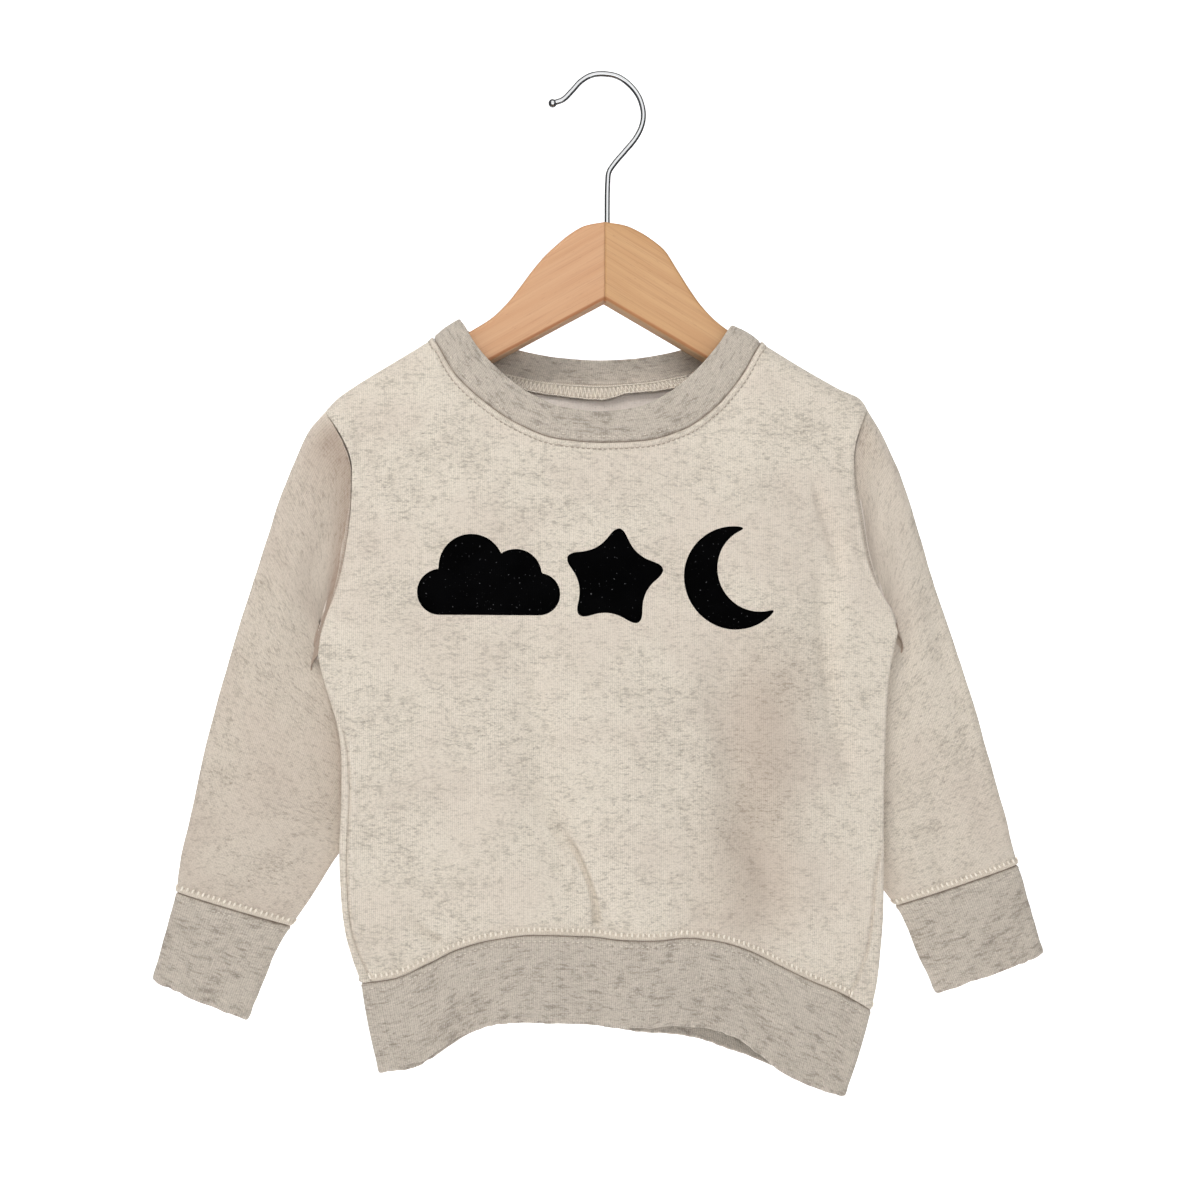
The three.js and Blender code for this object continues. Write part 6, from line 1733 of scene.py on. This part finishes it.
def hanger_half(side, name, material):
    last = HANGER_SECTIONS[-1][0]
    r = np.concatenate([np.linspace(0, last - HANGER_BEVEL, 120), last - HANGER_BEVEL + HANGER_BEVEL * np.sin(np.linspace(0, math.pi / 2, 8)[1:])])
    inset = np.where(r > last - HANGER_BEVEL, HANGER_BEVEL - np.sqrt(np.maximum(0, HANGER_BEVEL ** 2 - (r - last + HANGER_BEVEL) ** 2)), 0)
    top = HANGER["topLeft" if side < 0 else "topRight"](r) - inset
    low = HANGER["low"](r) + inset
    half = HANGER_HALF - inset
    slope_t, slope_l = np.gradient(top, r), np.gradient(low, r)
    slope_t[-8:], slope_l[-8:] = slope_t[-9], slope_l[-9]
    room = np.maximum((top - low) / 2 * 0.98, 0.05)
    bt = np.minimum(HANGER_BEVEL * np.sqrt(1 + np.clip(slope_t, -1.6, 1.6) ** 2), room)
    bl = np.minimum(HANGER_BEVEL * np.sqrt(1 + slope_l ** 2), room)
    a = np.linspace(0, math.pi / 2, 8)
    ring = []
    # front side down, under, back side up, over
    by = np.minimum(HANGER_BEVEL, half * 0.98)
    def corner(sy, is_top, angles):
        for ang in angles:
            y = sy * (half - by * (1 - math.sin(ang)))
            z = (top - bt * (1 - math.cos(ang))) if is_top else (low + bl * (1 - math.cos(ang)))
            ring.append((y, z))
    corner(-1, True, a)                     # front top: from over the edge down to the face
    for k in np.linspace(0, 1, 9)[1:-1]:
        ring.append((-half, lerp(top - bt, low + bl, k)))
    corner(-1, False, a[::-1])
    for k in np.linspace(0, 1, 5)[1:-1]:
        ring.append((lerp(-(half - by), half - by, k), low))
    corner(1, False, a)
    for k in np.linspace(0, 1, 9)[1:-1]:
        ring.append((half, lerp(low + bl, top - bt, k)))
    corner(1, True, a[::-1])
    for k in np.linspace(0, 1, 5)[1:-1]:
        ring.append((lerp(half - by, -(half - by), k), top))
    x = MITRE_X + side * (r + 0.012)
    m = len(ring)
    pts = np.stack([np.stack([x, np.broadcast_to(y, x.shape), z], -1) for y, z in ring], 1)
    verts = pts.reshape(-1, 3)
    faces = grid_faces(len(r), m, False, True)
    # ends: the mitre face and the round tip, filled across the slot from front to back
    nf = 8 + 7 + 8                          # points of the front side, top corner to bottom corner
    front_ids = list(range(0, nf))
    back_ids = list(range(nf + 3, nf + 3 + nf))[::-1]
    caps = []
    for base, flip in ((0, False), ((len(r) - 1) * m, True)):
        for j in range(nf - 1):
            f = [base + front_ids[j], base + front_ids[j + 1], base + back_ids[j + 1], base + back_ids[j]]
            caps.append(f[::-1] if flip else f)
    tris = []
    for base, flip in ((0, False), ((len(r) - 1) * m, True)):
        low_ids = [front_ids[-1], nf, nf + 1, nf + 2, back_ids[-1]]
        top_ids = [back_ids[0], m - 3, m - 2, m - 1, front_ids[0]]
        for ids in (low_ids, top_ids):
            for j in range(1, 4):
                f = [base + ids[0], base + ids[j], base + ids[j + 1]]
                tris.append(f[::-1] if flip else f)
    o = mesh_object(name, verts, np.concatenate([faces, np.array(caps)]), [material], tris=tris)
    outward(o)
    return o


hanger_l = hanger_half(-1, "hanger_left_wood", WOOD_LEFT)
hanger_r = hanger_half(1, "hanger_right_wood", WOOD_RIGHT)


# ---------------------------------------------------------------- hook
def catmull(points, per):
    """Centripetal Catmull-Rom through points in a plane."""
    p = np.asarray(points, float)
    p = np.concatenate([[2 * p[0] - p[1]], p, [2 * p[-1] - p[-2]]])
    out = []
    for i in range(1, len(p) - 2):
        p0, p1, p2, p3 = p[i - 1:i + 3]
        t0 = 0.0
        t1 = t0 + math.sqrt(np.linalg.norm(p1 - p0))
        t2 = t1 + math.sqrt(np.linalg.norm(p2 - p1))
        t3 = t2 + math.sqrt(np.linalg.norm(p3 - p2))
        t = np.linspace(t1, t2, per, endpoint=False)[:, None]
        a1 = (t1 - t) / (t1 - t0) * p0 + (t - t0) / (t1 - t0) * p1
        a2 = (t2 - t) / (t2 - t1) * p1 + (t - t1) / (t2 - t1) * p2
        a3 = (t3 - t) / (t3 - t2) * p2 + (t - t2) / (t3 - t2) * p3
        b1 = (t2 - t) / (t2 - t0) * a1 + (t - t0) / (t2 - t0) * a2
        b2 = (t3 - t) / (t3 - t1) * a2 + (t - t1) / (t3 - t1) * a3
        out.append((t2 - t) / (t2 - t1) * b1 + (t - t1) / (t2 - t1) * b2)
    return np.concatenate(out + [p[-2:-1]])


def hook_mesh():
    line = catmull(HOOK_SECTIONS, 22)
    line = np.stack([line[:, 0], 0 * line[:, 0], line[:, 1]], -1)
    (line,), _ = resample(line, 260, False)
    t = unit(np.gradient(line, axis=0))
    b = np.array([0.0, 1.0, 0.0])
    c = unit(np.cross(t, b))
    sides = 28
    a = np.linspace(0, 2 * math.pi, sides, endpoint=False)
    r = np.full(len(line), HOOK_WIRE)
    verts = (line[:, None] + r[:, None, None] * (c[:, None] * np.cos(a)[None, :, None] + b[None, None] * np.sin(a)[None, :, None])).reshape(-1, 3)
    # the ball closes the tip, and a flat disc closes the foot inside the wood
    tip, way = line[-1], t[-1]
    centre = tip + np.array([-0.6, 0, -0.2]) * 1.0
    start = math.asin(min(0.98, HOOK_WIRE * 0.86 / HOOK_BALL))
    ang = np.linspace(start, math.pi, 16)[:-1]
    rings = [centre + way * (-HOOK_BALL * math.cos(x)) for x in ang]
    ball = np.concatenate([ctr + HOOK_BALL * math.sin(x) * (c[-1] * np.cos(a)[:, None] + b * np.sin(a)[:, None])
                           for ctr, x in zip(rings, ang)])
    end_point = centre + way * HOOK_BALL
    foot = line[0]
    verts = np.concatenate([verts, ball, [end_point], [foot]])
    rows = len(line) + len(ang)
    faces = grid_faces(rows, sides, False, True)
    tip_id, foot_id = rows * sides, rows * sides + 1
    last = (rows - 1) * sides
    tris = [[last + k, last + (k + 1) % sides, tip_id] for k in range(sides)]
    tris += [[(k + 1) % sides, k, foot_id] for k in range(sides)]
    o = mesh_object("hook_wire", verts, faces, [CHROME], tris=tris)
    outward(o)
    return o


hook = hook_mesh()

# ---------------------------------------------------------------- riding and replacing
place(front, "fleece", "front")
place(back, "fleece", "back")
place(sleeve_l, "fleece", "sleeve_left")
place(sleeve_r, "fleece", "sleeve_right")
place(neck_band, "rib", "neck_rib")
place(cuff_l, "rib", "cuff_left")
place(cuff_r, "rib", "cuff_right")
place(hem_band, "rib", "hem_band")
place(hanger_l, "wood", "hanger_left")
place(hanger_r, "wood", "hanger_right")
place(hook, "hook_metal", "hook")
for o in (neck_roll, neck_stitches, hem_roll, hem_stitches, cuff_l_roll, cuff_l_stitches,
          cuff_r_roll, cuff_r_stitches, allowance, overlock, *motifs):
    place(o, "fleece")

# ---------------------------------------------------------------- stage, light
def stage_material(name, colour, glow):
    n = Nodes(name)
    n.bsdf.inputs["Base Color"].default_value = colour
    n.bsdf.inputs["Roughness"].default_value = 0.9
    n.bsdf.inputs["Emission Color"].default_value = (1, 1, 1, 1)
    n.bsdf.inputs["Emission Strength"].default_value = glow
    return n.mat


def backdrop():
    """A pale floor well below, swept up to a far wall."""
    y = np.concatenate([np.linspace(-4000, 1500, 8), 1500 + 900 * np.sin(np.linspace(0, math.pi / 2, 12)[1:]), np.full(6, 2400)])
    z = np.concatenate([np.full(8, -1300), -1300 + 900 * (1 - np.cos(np.linspace(0, math.pi / 2, 12)[1:])), np.linspace(-400, 4000, 7)[1:]])
    x = np.linspace(-5000, 5000, 9)
    pts = np.stack([np.stack([np.full_like(y, xx), y, z], -1) for xx in x])
    o = mesh_object("backdrop", pts.reshape(-1, 3), grid_faces(len(x), len(y), flip=True), [stage_material("paper", (0.92, 0.92, 0.92, 1), 0.62)])
    return o


backdrop()


def surround():
    """A pale ball round the whole studio, so that every view ends in the same tone. It lights nothing."""
    up = np.linspace(-math.pi / 2, math.pi / 2, 19)[1:-1]
    round_ = np.linspace(0, 2 * math.pi, 36, endpoint=False)
    r, z = 8000 * np.cos(up), 8000 * np.sin(up)
    pts = np.stack([np.stack([r * math.cos(a), r * math.sin(a), z], -1) for a in round_])
    verts = np.concatenate([pts.reshape(-1, 3), [(0, 0, -8000), (0, 0, 8000)]])
    m, k = len(up), len(round_)
    tris = [[i * m, (i + 1) % k * m, k * m] for i in range(k)]
    tris += [[(i + 1) % k * m + m - 1, i * m + m - 1, k * m + 1] for i in range(k)]
    o = mesh_object("surround", verts, grid_faces(k, m, True), [stage_material("surround", (0, 0, 0, 1), 0.97)], tris=tris)
    o.visible_diffuse = o.visible_shadow = False
    return o


surround()


def card(name, centre, size, axis, colour, glow):
    """A studio card that is seen only in the plated wire's reflections."""
    (w, h) = size
    x = np.array([-w / 2, w / 2])
    z = np.array([-h / 2, h / 2])
    if axis == "x":
        pts = [[(centre[0], centre[1] + a, centre[2] + b) for b in z] for a in x]
    elif axis == "y":
        pts = [[(centre[0] + a, centre[1], centre[2] + b) for b in z] for a in x]
    else:
        pts = [[(centre[0] + a, centre[1] + b, centre[2]) for b in z] for a in x]
    o = mesh_object(name, np.array(pts).reshape(-1, 3), grid_faces(2, 2), [stage_material(name, colour, glow)])
    o.visible_camera = o.visible_diffuse = o.visible_shadow = False
    return o


# dark behind the object on every side, white in front
DARK, BRIGHT = (0.03, 0.03, 0.035, 1), (0, 0, 0, 1)
card("card_left", (-1300, 350, 800), (3700, 4100), "x", DARK, 0.0)
card("card_right", (1300, 350, 800), (3700, 4100), "x", DARK, 0.0)
card("card_low", (0, 550, -1250), (2600, 3300), "z", DARK, 0.0)
card("card_top", (0, 100, 2850), (2600, 4200), "z", DARK, 0.0)
card("card_back", (0, 2150, 800), (2600, 4100), "y", DARK, 0.0)
card("card_front", (0, -2700, 800), (4400, 4100), "y", BRIGHT, 0.95)


def area_light(name, location, target, size, power, colour=(1, 1, 1)):
    data = bpy.data.lights.new(name, "AREA")
    data.shape = "RECTANGLE"
    data.size, data.size_y = size
    data.energy = power
    data.color = colour
    o = bpy.data.objects.new(name, data)
    o.location = location
    o.rotation_mode = "QUATERNION"
    o.rotation_quaternion = (Vector(target) - Vector(location)).to_track_quat("-Z", "Y")
    o.visible_glossy = False
    bpy.context.scene.collection.objects.link(o)
    return o


area_light("key", (-0.75, -1.1, 1.5), (0, 0, -0.3), (0.8, 0.8), 29.5, (1.0, 0.99, 0.975))
area_light("fill", (0.25, -2.3, 0.35), (0, 0, -0.3), (1.3, 1.3), 11.0, (0.98, 0.99, 1.0))

world = bpy.data.worlds.new("studio")
bpy.context.scene.world = world
world.use_nodes = True
world.node_tree.nodes["Background"].inputs[0].default_value = (1.0, 1.0, 1.0, 1.0)
world.node_tree.nodes["Background"].inputs[1].default_value = 0.25
bpy.context.scene.view_settings.view_transform = "Standard"
